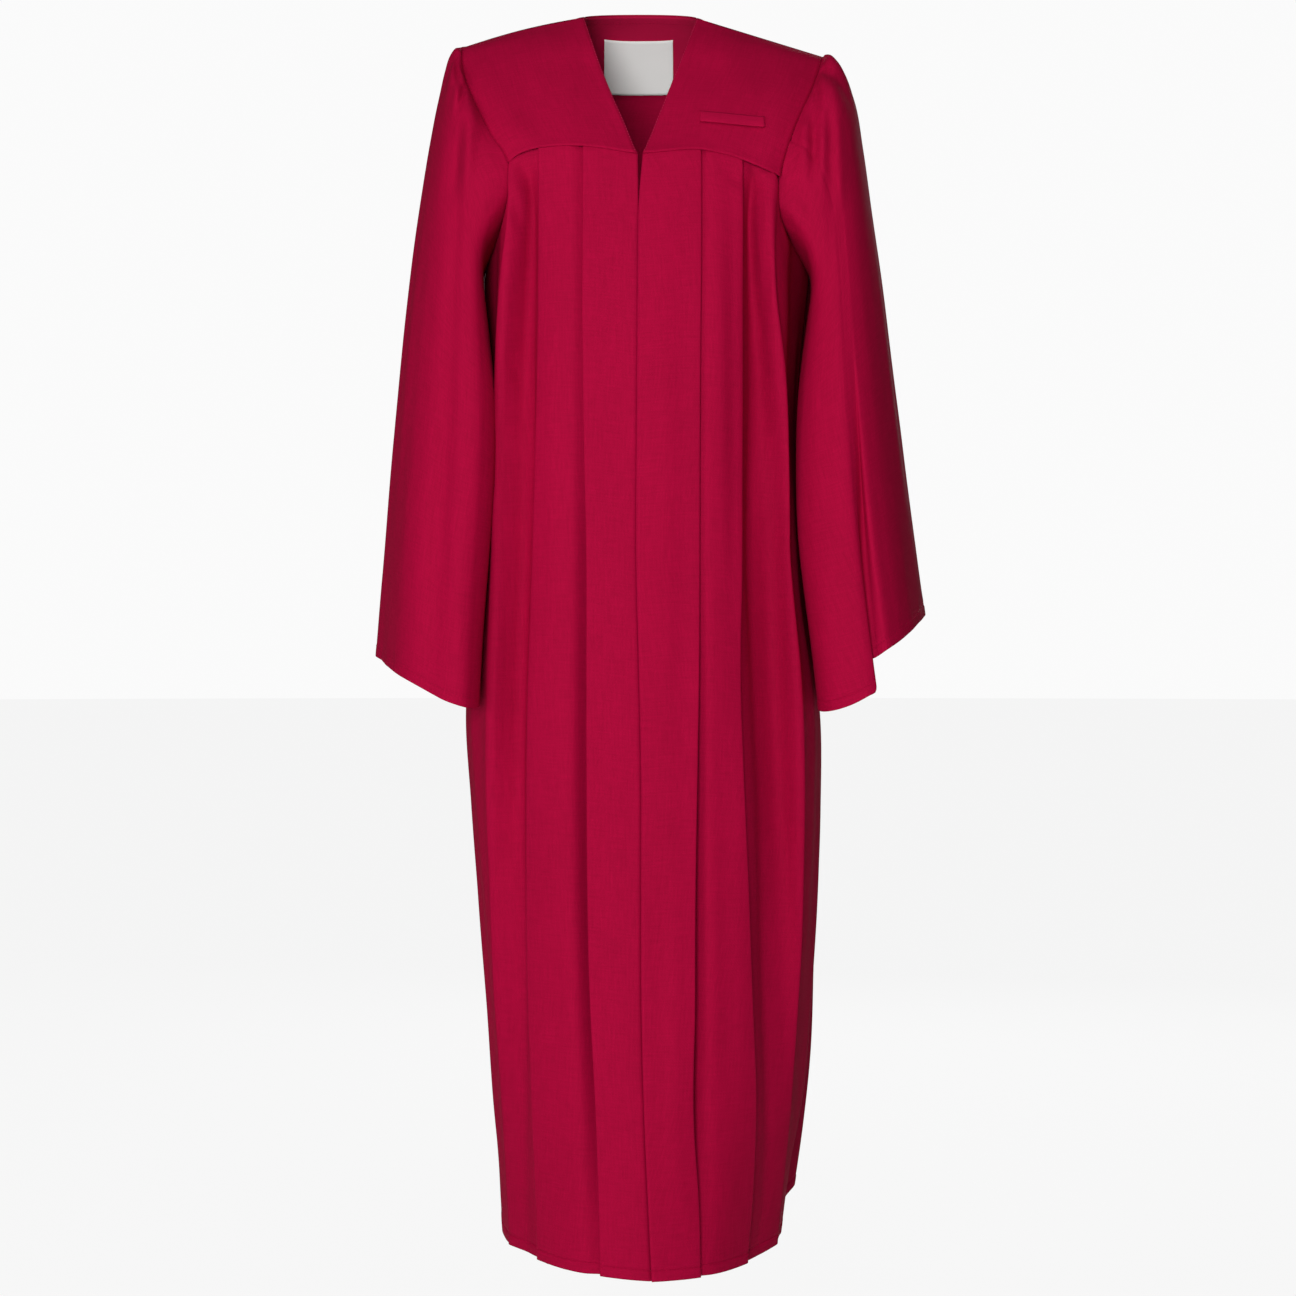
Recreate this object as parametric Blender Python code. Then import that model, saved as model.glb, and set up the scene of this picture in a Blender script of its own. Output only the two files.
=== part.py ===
"""Graduation gown, hollow and open, in the form it takes on its wearer.

Metres, +Z up. The front faces -Y and the wearer's left is +X. The origin lies midway
between the two neck points, where the gown rests on the wearer's shoulders.
Every piece is a cloth wall worked out from its own seams and sections.
"""

import math
from collections import namedtuple

import bmesh
import bpy
from mathutils import Vector

WALL = 0.0012
LABEL_WALL = 0.0010
SEAM_GAP = 0.0003
SLEEVE_SEAM_GAP = 0.0005
LABEL_GAP = 0.0010
TURN = 0.0013
SIDE_DEPTH = 0.030
SLEEVE_CLEARANCE = 0.0065
SLEEVE_SOFTNESS = 0.004
ARMHOLE_LEAN = 0.33
SHOULDER_LEAN = 0.15
LEAST_LEAN = 0.45
SEAM_FADE = 0.16
SEAM_SHIFT_START = 0.55
HEM_CORNER = 60.0

RIGHT = -1
LEFT = 1
SIDE_NAMES = {RIGHT: "right", LEFT: "left"}

# Plan of the body at each height: the depth of its front and back, half its width on the
# wearer's right and left, and how square it is, from 2 for an ellipse upwards.
Girth = namedtuple("Girth", "height front back right left square")
GIRTHS = (
    Girth(-0.140, -0.111, 0.128, 0.170, 0.182, 2.60),
    Girth(-0.220, -0.121, 0.136, 0.159, 0.180, 2.60),
    Girth(-0.300, -0.127, 0.140, 0.157, 0.172, 2.60),
    Girth(-0.400, -0.131, 0.142, 0.150, 0.162, 2.60),
    Girth(-0.500, -0.135, 0.147, 0.159, 0.164, 2.55),
    Girth(-0.600, -0.140, 0.155, 0.165, 0.171, 2.50),
    Girth(-0.700, -0.144, 0.164, 0.177, 0.186, 2.45),
    Girth(-0.850, -0.150, 0.178, 0.168, 0.185, 2.40),
    Girth(-1.000, -0.157, 0.190, 0.156, 0.176, 2.25),
    Girth(-1.100, -0.162, 0.198, 0.149, 0.167, 2.15),
    Girth(-1.180, -0.166, 0.202, 0.142, 0.154, 2.05),
    Girth(-1.250, -0.170, 0.205, 0.139, 0.145, 2.00),
)

# The line where the two fronts meet: how far it wanders to the wearer's left, the slit left
# open at the foot of the V neck, and how far the left front stands out to lap the right one.
Centre = namedtuple("Centre", "height shift slit lap")
CENTRES = (
    Centre(-0.160, -0.0010, 0.0056, 0.0000),
    Centre(-0.185, -0.0006, 0.0030, 0.0000),
    Centre(-0.215, -0.0002, 0.0003, 0.0000),
    Centre(-0.500, -0.0020, 0.0003, 0.0000),
    Centre(-0.620, -0.0015, 0.0003, 0.0004),
    Centre(-0.700, 0.0022, 0.0003, 0.0022),
    Centre(-0.980, 0.0030, 0.0003, 0.0028),
    Centre(-1.090, 0.0055, 0.0003, 0.0028),
    Centre(-1.250, 0.0126, 0.0003, 0.0026),
)

# The two pleats of a front panel and the soft folds beside them, at each height. Distances
# across are from the middle of the gown.
Pleat = namedtuple("Pleat", "height fold_a lay_a open_a fold_b lay_b open_b "
                            "valley dip ridge rise side_dip")
PLEATS = {
    RIGHT: (
        Pleat(-0.150, 0.0545, 0.018, 0.0026, 0.0985, 0.016, 0.0026,
              0.1120, 0.003, 0.1283, 0.000, 0.000),
        Pleat(-0.210, 0.0545, 0.018, 0.0026, 0.0985, 0.016, 0.0028,
              0.1090, 0.007, 0.1240, 0.003, 0.001),
        Pleat(-0.300, 0.0545, 0.018, 0.0028, 0.0990, 0.015, 0.0030,
              0.1140, 0.008, 0.1310, 0.004, 0.004),
        Pleat(-0.400, 0.0540, 0.017, 0.0030, 0.1000, 0.014, 0.0035,
              0.1160, 0.009, 0.1325, 0.004, 0.004),
        Pleat(-0.500, 0.0510, 0.016, 0.0045, 0.1030, 0.012, 0.0040,
              0.1200, 0.007, 0.1390, 0.003, 0.004),
        Pleat(-0.700, 0.0500, 0.015, 0.0060, 0.1085, 0.010, 0.0050,
              0.1270, 0.006, 0.1480, 0.002, 0.004),
        Pleat(-0.860, 0.0495, 0.014, 0.0070, 0.1095, 0.010, 0.0060,
              0.1260, 0.006, 0.1450, 0.002, 0.004),
        Pleat(-1.010, 0.0455, 0.013, 0.0080, 0.1080, 0.010, 0.0060,
              0.1230, 0.005, 0.1390, 0.003, 0.004),
        Pleat(-1.115, 0.0400, 0.012, 0.0060, 0.1040, 0.009, 0.0050,
              0.1180, 0.004, 0.1320, 0.003, 0.003),
        Pleat(-1.250, 0.0363, 0.010, 0.0040, 0.0990, 0.008, 0.0040,
              0.1130, 0.003, 0.1260, 0.002, 0.002),
    ),
    LEFT: (
        Pleat(-0.150, 0.0622, 0.018, 0.0026, 0.1031, 0.016, 0.0026,
              0.1180, 0.003, 0.1405, 0.000, 0.000),
        Pleat(-0.210, 0.0622, 0.018, 0.0026, 0.1031, 0.016, 0.0030,
              0.1135, 0.009, 0.1300, 0.003, 0.002),
        Pleat(-0.300, 0.0615, 0.018, 0.0028, 0.1030, 0.015, 0.0035,
              0.1140, 0.012, 0.1270, 0.004, 0.005),
        Pleat(-0.400, 0.0605, 0.017, 0.0032, 0.1025, 0.014, 0.0040,
              0.1170, 0.012, 0.1360, 0.005, 0.006),
        Pleat(-0.500, 0.0603, 0.016, 0.0040, 0.1025, 0.013, 0.0050,
              0.1206, 0.012, 0.1410, 0.004, 0.004),
        Pleat(-0.600, 0.0600, 0.015, 0.0050, 0.1015, 0.012, 0.0060,
              0.1240, 0.013, 0.1510, 0.003, 0.003),
        Pleat(-0.700, 0.0585, 0.014, 0.0070, 0.1005, 0.011, 0.0060,
              0.1300, 0.012, 0.1600, 0.003, 0.003),
        Pleat(-0.850, 0.0555, 0.013, 0.0110, 0.1075, 0.011, 0.0060,
              0.1330, 0.010, 0.1600, 0.003, 0.003),
        Pleat(-1.000, 0.0545, 0.012, 0.0140, 0.1130, 0.010, 0.0060,
              0.1350, 0.008, 0.1560, 0.003, 0.003),
        Pleat(-1.090, 0.0530, 0.012, 0.0160, 0.1160, 0.009, 0.0050,
              0.1340, 0.006, 0.1510, 0.002, 0.002),
        Pleat(-1.170, 0.0575, 0.011, 0.0080, 0.1140, 0.008, 0.0040,
              0.1300, 0.004, 0.1440, 0.002, 0.002),
        Pleat(-1.250, 0.0595, 0.010, 0.0040, 0.1080, 0.008, 0.0040,
              0.1210, 0.003, 0.1340, 0.002, 0.002),
    ),
}

# Soft flutes of the back, by their angle round the body from the centre front. Each grows
# from its size at the yoke seam to its size at the hem.
Flute = namedtuple("Flute", "angle width at_seam at_waist at_hem")
FLUTES = {
    RIGHT: (
        Flute(111.0, 9.0, 0.0, 0.000, 0.012),
        Flute(127.0, 9.0, -0.001, -0.006, -0.012),
        Flute(136.0, 6.0, 0.0, 0.002, 0.004),
        Flute(144.0, 8.0, 0.001, 0.006, 0.010),
        Flute(154.0, 6.0, -0.001, -0.006, -0.011),
        Flute(164.0, 7.0, 0.001, 0.006, 0.010),
        Flute(174.0, 6.0, -0.001, -0.006, -0.010),
    ),
    LEFT: (
        Flute(110.0, 9.0, 0.0, 0.000, 0.023),
        Flute(125.0, 8.0, -0.001, -0.006, -0.012),
        Flute(136.0, 6.0, 0.0, 0.003, 0.005),
        Flute(146.0, 8.0, 0.001, 0.007, 0.011),
        Flute(157.0, 7.0, -0.001, -0.006, -0.011),
        Flute(168.0, 7.0, 0.001, 0.006, 0.010),
        Flute(177.0, 5.0, -0.001, -0.005, -0.009),
    ),
}
FLUTE_HEIGHTS = (-0.150, -0.600, -1.220)
FLUTE_SHARPNESS = 1.6

# Height of the hem by angle round the body; the back hangs higher than the front.
Hem = namedtuple("Hem", "angle right left")
HEMS = (
    Hem(0.0, -1.2500, -1.2500),
    Hem(33.0, -1.2450, -1.2490),
    Hem(47.0, -1.2415, -1.2460),
    Hem(60.0, -1.2390, -1.2415),
    Hem(78.0, -1.2395, -1.2410),
    Hem(92.0, -1.2300, -1.2390),
    Hem(108.0, -1.1850, -1.2050),
    Hem(130.0, -1.1900, -1.2120),
    Hem(180.0, -1.2080, -1.2080),
)

# Height of the front yoke seam by its distance from the centre.
Seam = namedtuple("Seam", "across height")
FRONT_SEAMS = {
    RIGHT: (Seam(0.000, -0.1598), Seam(0.037, -0.1535), Seam(0.070, -0.1503),
            Seam(0.096, -0.1520), Seam(0.116, -0.1570), Seam(0.1283, -0.1650)),
    LEFT: (Seam(0.000, -0.1598), Seam(0.030, -0.1568), Seam(0.0567, -0.1545),
           Seam(0.087, -0.1590), Seam(0.110, -0.1670), Seam(0.1405, -0.1790)),
}
BACK_SEAM_CENTRE = -0.158

# The armhole, a closed loop: over the shoulder, down the front, under the arm and up the back.
Hole = namedtuple("Hole", "across depth height")
ARMHOLES = {
    RIGHT: (
        Hole(0.1790, 0.012, -0.0280),
        Hole(0.1745, -0.042, -0.0690),
        Hole(0.1490, -0.081, -0.1290),
        Hole(0.1283, -0.093, -0.1650),
        Hole(0.1325, -0.080, -0.2130),
        Hole(0.1560, 0.012, -0.2560),
        Hole(0.1500, 0.088, -0.2180),
        Hole(0.1460, 0.106, -0.1600),
        Hole(0.1650, 0.073, -0.0820),
    ),
    LEFT: (
        Hole(0.1890, 0.012, -0.0380),
        Hole(0.1755, -0.046, -0.0790),
        Hole(0.1540, -0.083, -0.1310),
        Hole(0.1405, -0.094, -0.1790),
        Hole(0.1420, -0.084, -0.2190),
        Hole(0.1740, 0.012, -0.2600),
        Hole(0.1640, 0.088, -0.2230),
        Hole(0.1570, 0.106, -0.1650),
        Hole(0.1750, 0.073, -0.0890),
    ),
}
FRONT_SEAM_END = 3
UNDERARM = 5
BACK_SEAM_END = 7

# The edge of the V neck, from the neck point down to the yoke seam.
Neck = namedtuple("Neck", "across depth height")
V_EDGES = {
    RIGHT: (Neck(0.0556, 0.000, 0.0000), Neck(0.0472, -0.033, -0.0300),
            Neck(0.0363, -0.055, -0.0650), Neck(0.0250, -0.076, -0.0970),
            Neck(0.0130, -0.093, -0.1260), Neck(0.0010, -0.1125, -0.1598)),
    LEFT: (Neck(0.0597, 0.000, -0.0010), Neck(0.0500, -0.033, -0.0310),
           Neck(0.0387, -0.055, -0.0650), Neck(0.0275, -0.076, -0.0970),
           Neck(0.0160, -0.093, -0.1280), Neck(0.0046, -0.1125, -0.1598)),
}
SHOULDER_RISE = {RIGHT: 0.0030, LEFT: 0.0}
NECK_ROUNDING = 0.88
BACK_NECK = Vector((0.002, 0.064, 0.0175))

# Rings down each bell sleeve, from the armhole to the hem: its outer, inner, front and back
# lines. Across is from the middle of the gown.
Ring = namedtuple("Ring", "outer_x outer_z inner_x inner_z front_y front_z back_y back_z")
RINGS = {
    RIGHT: (
        Ring(0.1790, -0.0280, 0.1580, -0.258, -0.093, -0.155, 0.105, -0.150),
        Ring(0.1832, -0.0305, 0.1600, -0.264, -0.097, -0.165, 0.107, -0.160),
        Ring(0.1887, -0.0380, 0.1620, -0.272, -0.099, -0.180, 0.108, -0.174),
        Ring(0.1957, -0.0560, 0.1620, -0.284, -0.098, -0.200, 0.109, -0.194),
        Ring(0.2032, -0.0830, 0.1600, -0.298, -0.096, -0.224, 0.109, -0.218),
        Ring(0.2132, -0.1300, 0.1570, -0.318, -0.095, -0.256, 0.109, -0.252),
        Ring(0.2252, -0.2050, 0.1540, -0.348, -0.096, -0.300, 0.110, -0.298),
        Ring(0.2367, -0.2950, 0.1500, -0.390, -0.100, -0.358, 0.114, -0.354),
        Ring(0.2462, -0.3900, 0.1490, -0.450, -0.105, -0.434, 0.122, -0.428),
        Ring(0.2547, -0.4800, 0.1530, -0.525, -0.111, -0.518, 0.133, -0.508),
        Ring(0.2622, -0.5700, 0.1580, -0.610, -0.117, -0.606, 0.145, -0.588),
        Ring(0.2682, -0.6500, 0.1620, -0.695, -0.122, -0.696, 0.155, -0.658),
    ),
    LEFT: (
        Ring(0.1890, -0.0380, 0.1760, -0.262, -0.094, -0.165, 0.105, -0.155),
        Ring(0.1940, -0.0365, 0.1770, -0.268, -0.099, -0.172, 0.108, -0.163),
        Ring(0.2005, -0.0440, 0.1780, -0.276, -0.102, -0.185, 0.109, -0.176),
        Ring(0.2100, -0.0610, 0.1770, -0.287, -0.102, -0.204, 0.109, -0.196),
        Ring(0.2192, -0.0860, 0.1740, -0.300, -0.100, -0.228, 0.109, -0.220),
        Ring(0.2282, -0.1340, 0.1690, -0.320, -0.098, -0.260, 0.109, -0.254),
        Ring(0.2392, -0.2080, 0.1640, -0.350, -0.099, -0.303, 0.110, -0.300),
        Ring(0.2517, -0.2980, 0.1590, -0.392, -0.102, -0.360, 0.114, -0.356),
        Ring(0.2637, -0.3930, 0.1560, -0.452, -0.106, -0.436, 0.122, -0.430),
        Ring(0.2752, -0.4800, 0.1570, -0.530, -0.111, -0.524, 0.133, -0.505),
        Ring(0.2857, -0.5560, 0.1640, -0.616, -0.116, -0.612, 0.145, -0.575),
        Ring(0.2932, -0.6070, 0.1720, -0.690, -0.120, -0.678, 0.155, -0.628),
    ),
}
FRONT_LINE_SHARE = {RIGHT: 0.22, LEFT: 0.40}
BACK_LINE_SHARE = 0.20
SLEEVE_ROUNDNESS = 2.5
SLEEVE_ROWS = {RIGHT: tuple(range(12)), LEFT: tuple(range(9)) + (8.5, 9, 9.25, 9.5, 10, 10.35, 10.7, 11)}
HEAD_RINGS = 6
ELBOW_RING = 8
GATHER = 0.0012

# Long soft folds of the sleeves: their place round the sleeve as a share of a turn from the
# outer line by way of the front, and how far they stand out at mid length and at the hem.
SleeveFold = namedtuple("SleeveFold", "around width at_elbow at_hem")
SLEEVE_FOLDS = {
    RIGHT: (SleeveFold(0.270, 0.030, 0.003, 0.004), SleeveFold(0.215, 0.030, -0.006, -0.004),
            SleeveFold(0.120, 0.050, 0.003, 0.006), SleeveFold(0.870, 0.045, -0.006, -0.009),
            SleeveFold(0.780, 0.040, 0.005, 0.008), SleeveFold(0.690, 0.040, -0.006, -0.008)),
    LEFT: (SleeveFold(0.235, 0.030, 0.002, 0.003), SleeveFold(0.100, 0.050, -0.003, -0.004),
           SleeveFold(0.900, 0.050, 0.003, 0.008), SleeveFold(0.820, 0.040, -0.006, -0.009),
           SleeveFold(0.740, 0.040, 0.005, 0.008), SleeveFold(0.660, 0.040, -0.006, -0.008)),
}

# The one deep fold of the left sleeve, which opens towards the hem: its place, the share of
# the way that its edge stands from the cloth in front to the cloth behind, its first
# ring, the drop of the hem across it, and how far round the sleeve that drop spreads.
DEEP_FOLD_AROUND = 0.225
DEEP_FOLD_EDGE = 0.35
DEEP_FOLD_RING = 8.5
DEEP_FOLD_DROP = 0.034
DEEP_FOLD_SPREAD = 0.22

# The turns of that fold at the hem: along the sleeve from the fold's edge, the front being
# negative, and behind it.
Bend = namedtuple("Bend", "along behind")
DEEP_FOLD_BENDS = (
    Bend(0.0000, 0.0000),
    Bend(0.0013, 0.0013),
    Bend(0.0000, 0.0026),
    Bend(-0.0130, 0.0042),
    Bend(-0.0152, 0.0065),
    Bend(-0.0130, 0.0088),
    Bend(0.0020, 0.0098),
)

# The welt on the left front yoke and the label in the back neck, as seen from the front.
Strip = namedtuple("Strip", "inner_x inner_z outer_x outer_z tall")
WELT = Strip(0.0610, -0.1195, 0.1250, -0.1245, 0.0110)
LABEL = Strip(-0.0375, -0.0305, 0.0370, -0.0305, 0.0520)

# Rows of the back yoke that the facing covers, from just under its top edge.
FACING_ROWS = (0.06, 1.0, 2.0, 3.0, 3.9)

# How many steps each stretch of a piece is made in.
YOKE_ROWS = 8
SIDE_COLUMNS = 6
BACK_COLUMNS = 14
SHOULDER_COLUMNS = 5
PANEL_ROWS = (0.0, 0.035, 0.09, 0.17, 0.26, 0.36, 0.46, 0.56, 0.66, 0.76, 0.86, 0.935, 1.0)
FRONT_STRETCHES = (("centre", 3), ("turn_a", 4), ("lay_a", 1), ("under_a", 4), ("out_a", 1),
                   ("second", 4), ("turn_b", 4), ("lay_b", 1), ("under_b", 4), ("out_b", 1),
                   ("valley", 2), ("ridge", 2), ("side", SIDE_COLUMNS))

CLOTH = (0.36, 0.004, 0.033, 1.0)
CLOTH_SHADE = (0.27, 0.004, 0.028, 1.0)
WHITE = (0.85, 0.85, 0.84, 1.0)


def clear_scene():
    for thing in list(bpy.data.objects):
        bpy.data.objects.remove(thing, do_unlink=True)


def cloth_material(name, colour, roughness):
    material = bpy.data.materials.new(name)
    material.use_nodes = True
    shader = material.node_tree.nodes["Principled BSDF"]
    shader.inputs["Base Color"].default_value = colour
    shader.inputs["Roughness"].default_value = roughness
    shader.inputs["Metallic"].default_value = 0.0
    return material


def read_row(table, key):
    """A smooth value of every column of a table at a place between its rows."""
    keys = [row[0] for row in table]
    rising = keys[-1] > keys[0]
    last = len(table) - 1
    if (key <= keys[0]) == rising:
        return table[0]
    if (key >= keys[last]) == rising:
        return table[last]
    low = 0
    while (keys[low + 1] < key) == rising and keys[low + 1] != key:
        low += 1
    return blend_rows(table, keys, low, (key - keys[low]) / (keys[low + 1] - keys[low]))


def blend_rows(table, keys, low, share):
    last = len(table) - 1
    high = low + 1
    span = keys[high] - keys[low]
    values = []
    for column in range(len(table[0])):
        start = table[low][column]
        end = table[high][column]
        before = max(low - 1, 0)
        after = min(high + 1, last)
        slope_in = (end - table[before][column]) / (keys[high] - keys[before]) * span
        slope_out = (table[after][column] - start) / (keys[after] - keys[low]) * span
        values.append(hermite(start, end, slope_in, slope_out, share))
    return type(table[0])(*values)


def ring_at(rings, place):
    """The ring of a sleeve at a place counted in rings."""
    low = min(int(place), len(rings) - 2)
    return blend_rows(rings, list(range(len(rings))), low, place - low)


def hermite(start, end, slope_in, slope_out, share):
    square = share * share
    cube = square * share
    return (start * (2 * cube - 3 * square + 1) + slope_in * (cube - 2 * square + share)
            + end * (3 * square - 2 * cube) + slope_out * (cube - square))


def smooth_step(start, end, value):
    share = min(max((value - start) / (end - start), 0.0), 1.0)
    return share * share * (3.0 - 2.0 * share)


def half_width(side, girth):
    return girth.left if side == LEFT else girth.right


def outline(side, degrees, height):
    """The body's plain plan outline, by angle from the centre front."""
    girth = read_row(GIRTHS, height)
    angle = math.radians(degrees)
    power = 2.0 / girth.square
    across = half_width(side, girth) * abs(math.sin(angle)) ** power
    facing = math.cos(angle)
    reach = SIDE_DEPTH - girth.front if facing > 0 else girth.back - SIDE_DEPTH
    return Vector((across, SIDE_DEPTH - math.copysign(reach * abs(facing) ** power, facing)))


def outline_ways(side, degrees, height):
    """The directions along the outline, away from the centre front, and out of it."""
    step = 0.5
    ahead = outline(side, min(degrees + step, 180.0), height)
    behind = outline(side, max(degrees - step, 0.0), height)
    along = (ahead - behind).normalized()
    return along, Vector((along.y, -along.x))


def front_angle(side, across, height):
    girth = read_row(GIRTHS, height)
    share = min(abs(across) / half_width(side, girth), 1.0)
    return math.degrees(math.asin(share ** (girth.square / 2.0)))


def plan_point(side, across, depth, height):
    """A point at a distance across and a depth behind the body's plain outline."""
    angle = front_angle(side, across, height)
    along, outward = outline_ways(side, angle, height)
    point = outline(side, angle, height) - outward * depth
    if across < 0:
        point.x = across
    return point


def fold_marks(name, fold, lay, opened, shares):
    """Across and depth of one stretch of a pleat: its edge, its laid layer or its inner turn."""
    kind = name[:-2]
    if kind == "turn":
        return [(fold - TURN + TURN * math.sin(math.pi * share),
                 TURN - TURN * math.cos(math.pi * share)) for share in shares]
    if kind == "lay":
        return [(fold - TURN - lay * share, 2.0 * TURN) for share in shares]
    bend = opened / 2.0
    if kind == "under":
        return [(fold - TURN - lay - bend * math.sin(math.pi * share),
                 2.0 * TURN + bend - bend * math.cos(math.pi * share)) for share in shares]
    return [(fold - TURN - lay + (lay + TURN) * share, 2.0 * TURN + opened) for share in shares]


def front_plan(side, height):
    """Points of a front panel's plan at a height, and the names of their stretches."""
    pleat = read_row(PLEATS[side], height)
    centre = read_row(CENTRES, height)
    lap = max(centre.lap, 0.0) if side == LEFT else 0.0
    slit = max(centre.slit, SEAM_GAP)
    edge = centre.shift + slit if side == LEFT else -centre.shift
    ridge_angle = front_angle(side, pleat.ridge, height)
    folds = {"a": (pleat.fold_a, pleat.lay_a, pleat.open_a),
             "b": (pleat.fold_b, pleat.lay_b, pleat.open_b)}
    behind_a = 2.0 * TURN + pleat.open_a
    behind_b = 2.0 * TURN + pleat.open_b
    spans = {"centre": (edge, pleat.fold_a - TURN, -lap, -lap),
             "second": (pleat.fold_a, pleat.fold_b - TURN, behind_a - lap, 0.0),
             "valley": (pleat.fold_b, pleat.valley, behind_b, pleat.dip),
             "ridge": (pleat.valley, pleat.ridge, pleat.dip, -pleat.rise)}
    points = []
    names = []
    for name, count in FRONT_STRETCHES:
        shares = [(step + 1) / count for step in range(count)]
        if not points:
            shares = [0.0] + shares
        if name in spans:
            start, end, deep, shallow = spans[name]
            reach = 0.6 if name == "second" else 1.0
            marks = [(start + (end - start) * share,
                      deep + (shallow - deep) * smooth_step(0.0, reach, share)) for share in shares]
        elif name != "side":
            marks = fold_marks(name, *folds[name[-1]], shares)
            if name[-1] == "a":
                marks = [(across, depth - lap) for across, depth in marks]
        if name != "side":
            points.extend(plan_point(side, across, depth, height) for across, depth in marks)
        else:
            for share in shares:
                angle = ridge_angle + (90.0 - ridge_angle) * (1.0 - math.cos(share * math.pi / 2.0))
                along, outward = outline_ways(side, angle, height)
                soft = pleat.rise * (1.0 - share) ** 2 - pleat.side_dip * math.sin(math.pi * share)
                points.append(outline(side, angle, height) + outward * soft)
        names.extend([name] * len(shares))
    return points, names


def armhole_point(side, place):
    """A point of the armhole loop; whole numbers are the rows of its table."""
    rows = ARMHOLES[side]
    count = len(rows)
    low = int(math.floor(place))
    share = place - low
    near = [Vector(rows[(low + step) % count]) for step in (-1, 0, 1, 2)]
    across = hermite(near[1], near[2], (near[2] - near[0]) / 2.0, (near[3] - near[1]) / 2.0, share)
    return Vector((side * across.x, across.y, across.z))


def armhole_stations():
    """Places round the armhole shared by the sleeve and by the pieces it is sewn to."""
    front_yoke = [FRONT_SEAM_END * step / YOKE_ROWS for step in range(YOKE_ROWS)]
    front_span = UNDERARM - FRONT_SEAM_END
    front_side = [FRONT_SEAM_END + front_span * step / SIDE_COLUMNS for step in range(SIDE_COLUMNS)]
    back_span = BACK_SEAM_END - UNDERARM
    back_side = [UNDERARM + back_span * step / SIDE_COLUMNS for step in range(SIDE_COLUMNS)]
    rest = len(ARMHOLES[RIGHT]) - BACK_SEAM_END
    back_yoke = [BACK_SEAM_END + rest * step / YOKE_ROWS for step in range(YOKE_ROWS)]
    return front_yoke + front_side + back_side + back_yoke


def armhole_lean(side, place):
    """The common direction of the cloth walls that meet at a point of the armhole."""
    middle = (armhole_point(side, 0.0) + armhole_point(side, UNDERARM)) / 2.0
    spoke = armhole_point(side, place) - middle
    spoke.x = 0.0
    return (spoke.normalized() + Vector((ARMHOLE_LEAN * side, 0.0, 0.0))).normalized()


def front_seam_height(side, across):
    return read_row(FRONT_SEAMS[side], abs(across)).height


def yoke_stations(side):
    """Distances across at which a front yoke and its panel share the points of their seam."""
    plan, names = front_plan(side, FRONT_SEAMS[side][0].height)
    seen = ("centre", "second", "valley", "ridge")
    across = [point.x for point, name in zip(plan, names) if name in seen]
    across[0] = V_EDGES[side][-1].across
    across[-1] = abs(armhole_point(side, FRONT_SEAM_END).x)
    return across


def straight_seam_height(side, across, stations):
    """The seam's height on the straight stretches between its shared points."""
    low = 0
    while low < len(stations) - 2 and stations[low + 1] < across:
        low += 1
    start = stations[low]
    end = stations[low + 1]
    share = min(max((across - start) / (end - start), 0.0), 1.0)
    near = front_seam_height(side, start)
    return near + (front_seam_height(side, end) - near) * share


def back_seam_height(side, across):
    end = armhole_point(side, BACK_SEAM_END)
    share = min(abs(across) / abs(end.x), 1.0)
    return BACK_SEAM_CENTRE + (end.z - BACK_SEAM_CENTRE) * share * share


def seam_end_shift(side, end, angle, across):
    """How far the seam leaves the plain outline so that it meets the armhole."""
    base = outline(side, angle, end.z)
    reach = Vector((abs(end.x), end.y)) - base
    return reach * smooth_step(SEAM_SHIFT_START, 1.0, abs(across) / abs(end.x))


def hem_height(side, degrees):
    row = read_row(HEMS, degrees)
    return row.left if side == LEFT else row.right


def front_panel_points(side):
    """Rows of points of a front panel, from its top edge to its hem."""
    middle_height = FRONT_SEAMS[side][0].height
    top_plan, names = front_plan(side, middle_height)
    seam_end = armhole_point(side, FRONT_SEAM_END)
    end_angle = front_angle(side, seam_end.x, seam_end.z)
    first_side = names.index("side")
    stations = yoke_stations(side)
    columns = []
    for column, name in enumerate(names):
        across = top_plan[column].x
        if name == "side":
            share = (column - first_side + 1) / SIDE_COLUMNS
            top = armhole_point(side, FRONT_SEAM_END + (UNDERARM - FRONT_SEAM_END) * share)
            shift = Vector((abs(top.x), top.y)) - front_plan(side, top.z)[0][column]
            top_height = top.z
            hem_angle = HEM_CORNER + (90.0 - HEM_CORNER) * share
        else:
            top_height = straight_seam_height(side, across, stations)
            if column == first_side - 1:
                top_height = seam_end.z
            shift = seam_end_shift(side, seam_end, end_angle, across)
            hem_angle = HEM_CORNER * min(max(across, 0.0) / abs(seam_end.x), 1.0)
        columns.append((column, top_height, hem_height(side, hem_angle), shift))
    rows = []
    for part in PANEL_ROWS:
        row = []
        for column, top_height, low, shift in columns:
            height = top_height + (low - top_height) * part
            flat = front_plan(side, height)[0][column]
            flat = flat + shift * (1.0 - smooth_step(top_height, top_height - SEAM_FADE, height))
            row.append(Vector((side * flat.x, flat.y, height)))
        rows.append(row)
    ease_top(rows, names, 1.5 * SEAM_GAP)
    gap = SEAM_GAP / 2.0
    for row in rows:
        row[-1].y = row[-1].y - gap
    if side == LEFT:
        return [list(reversed(row)) for row in rows], list(reversed(names))
    return rows, names


def ease_top(rows, names, gap):
    """Lower the top edge along the yoke seam by half the seam gap."""
    for column, name in enumerate(names):
        if name != "side":
            rows[0][column].z -= gap


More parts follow.
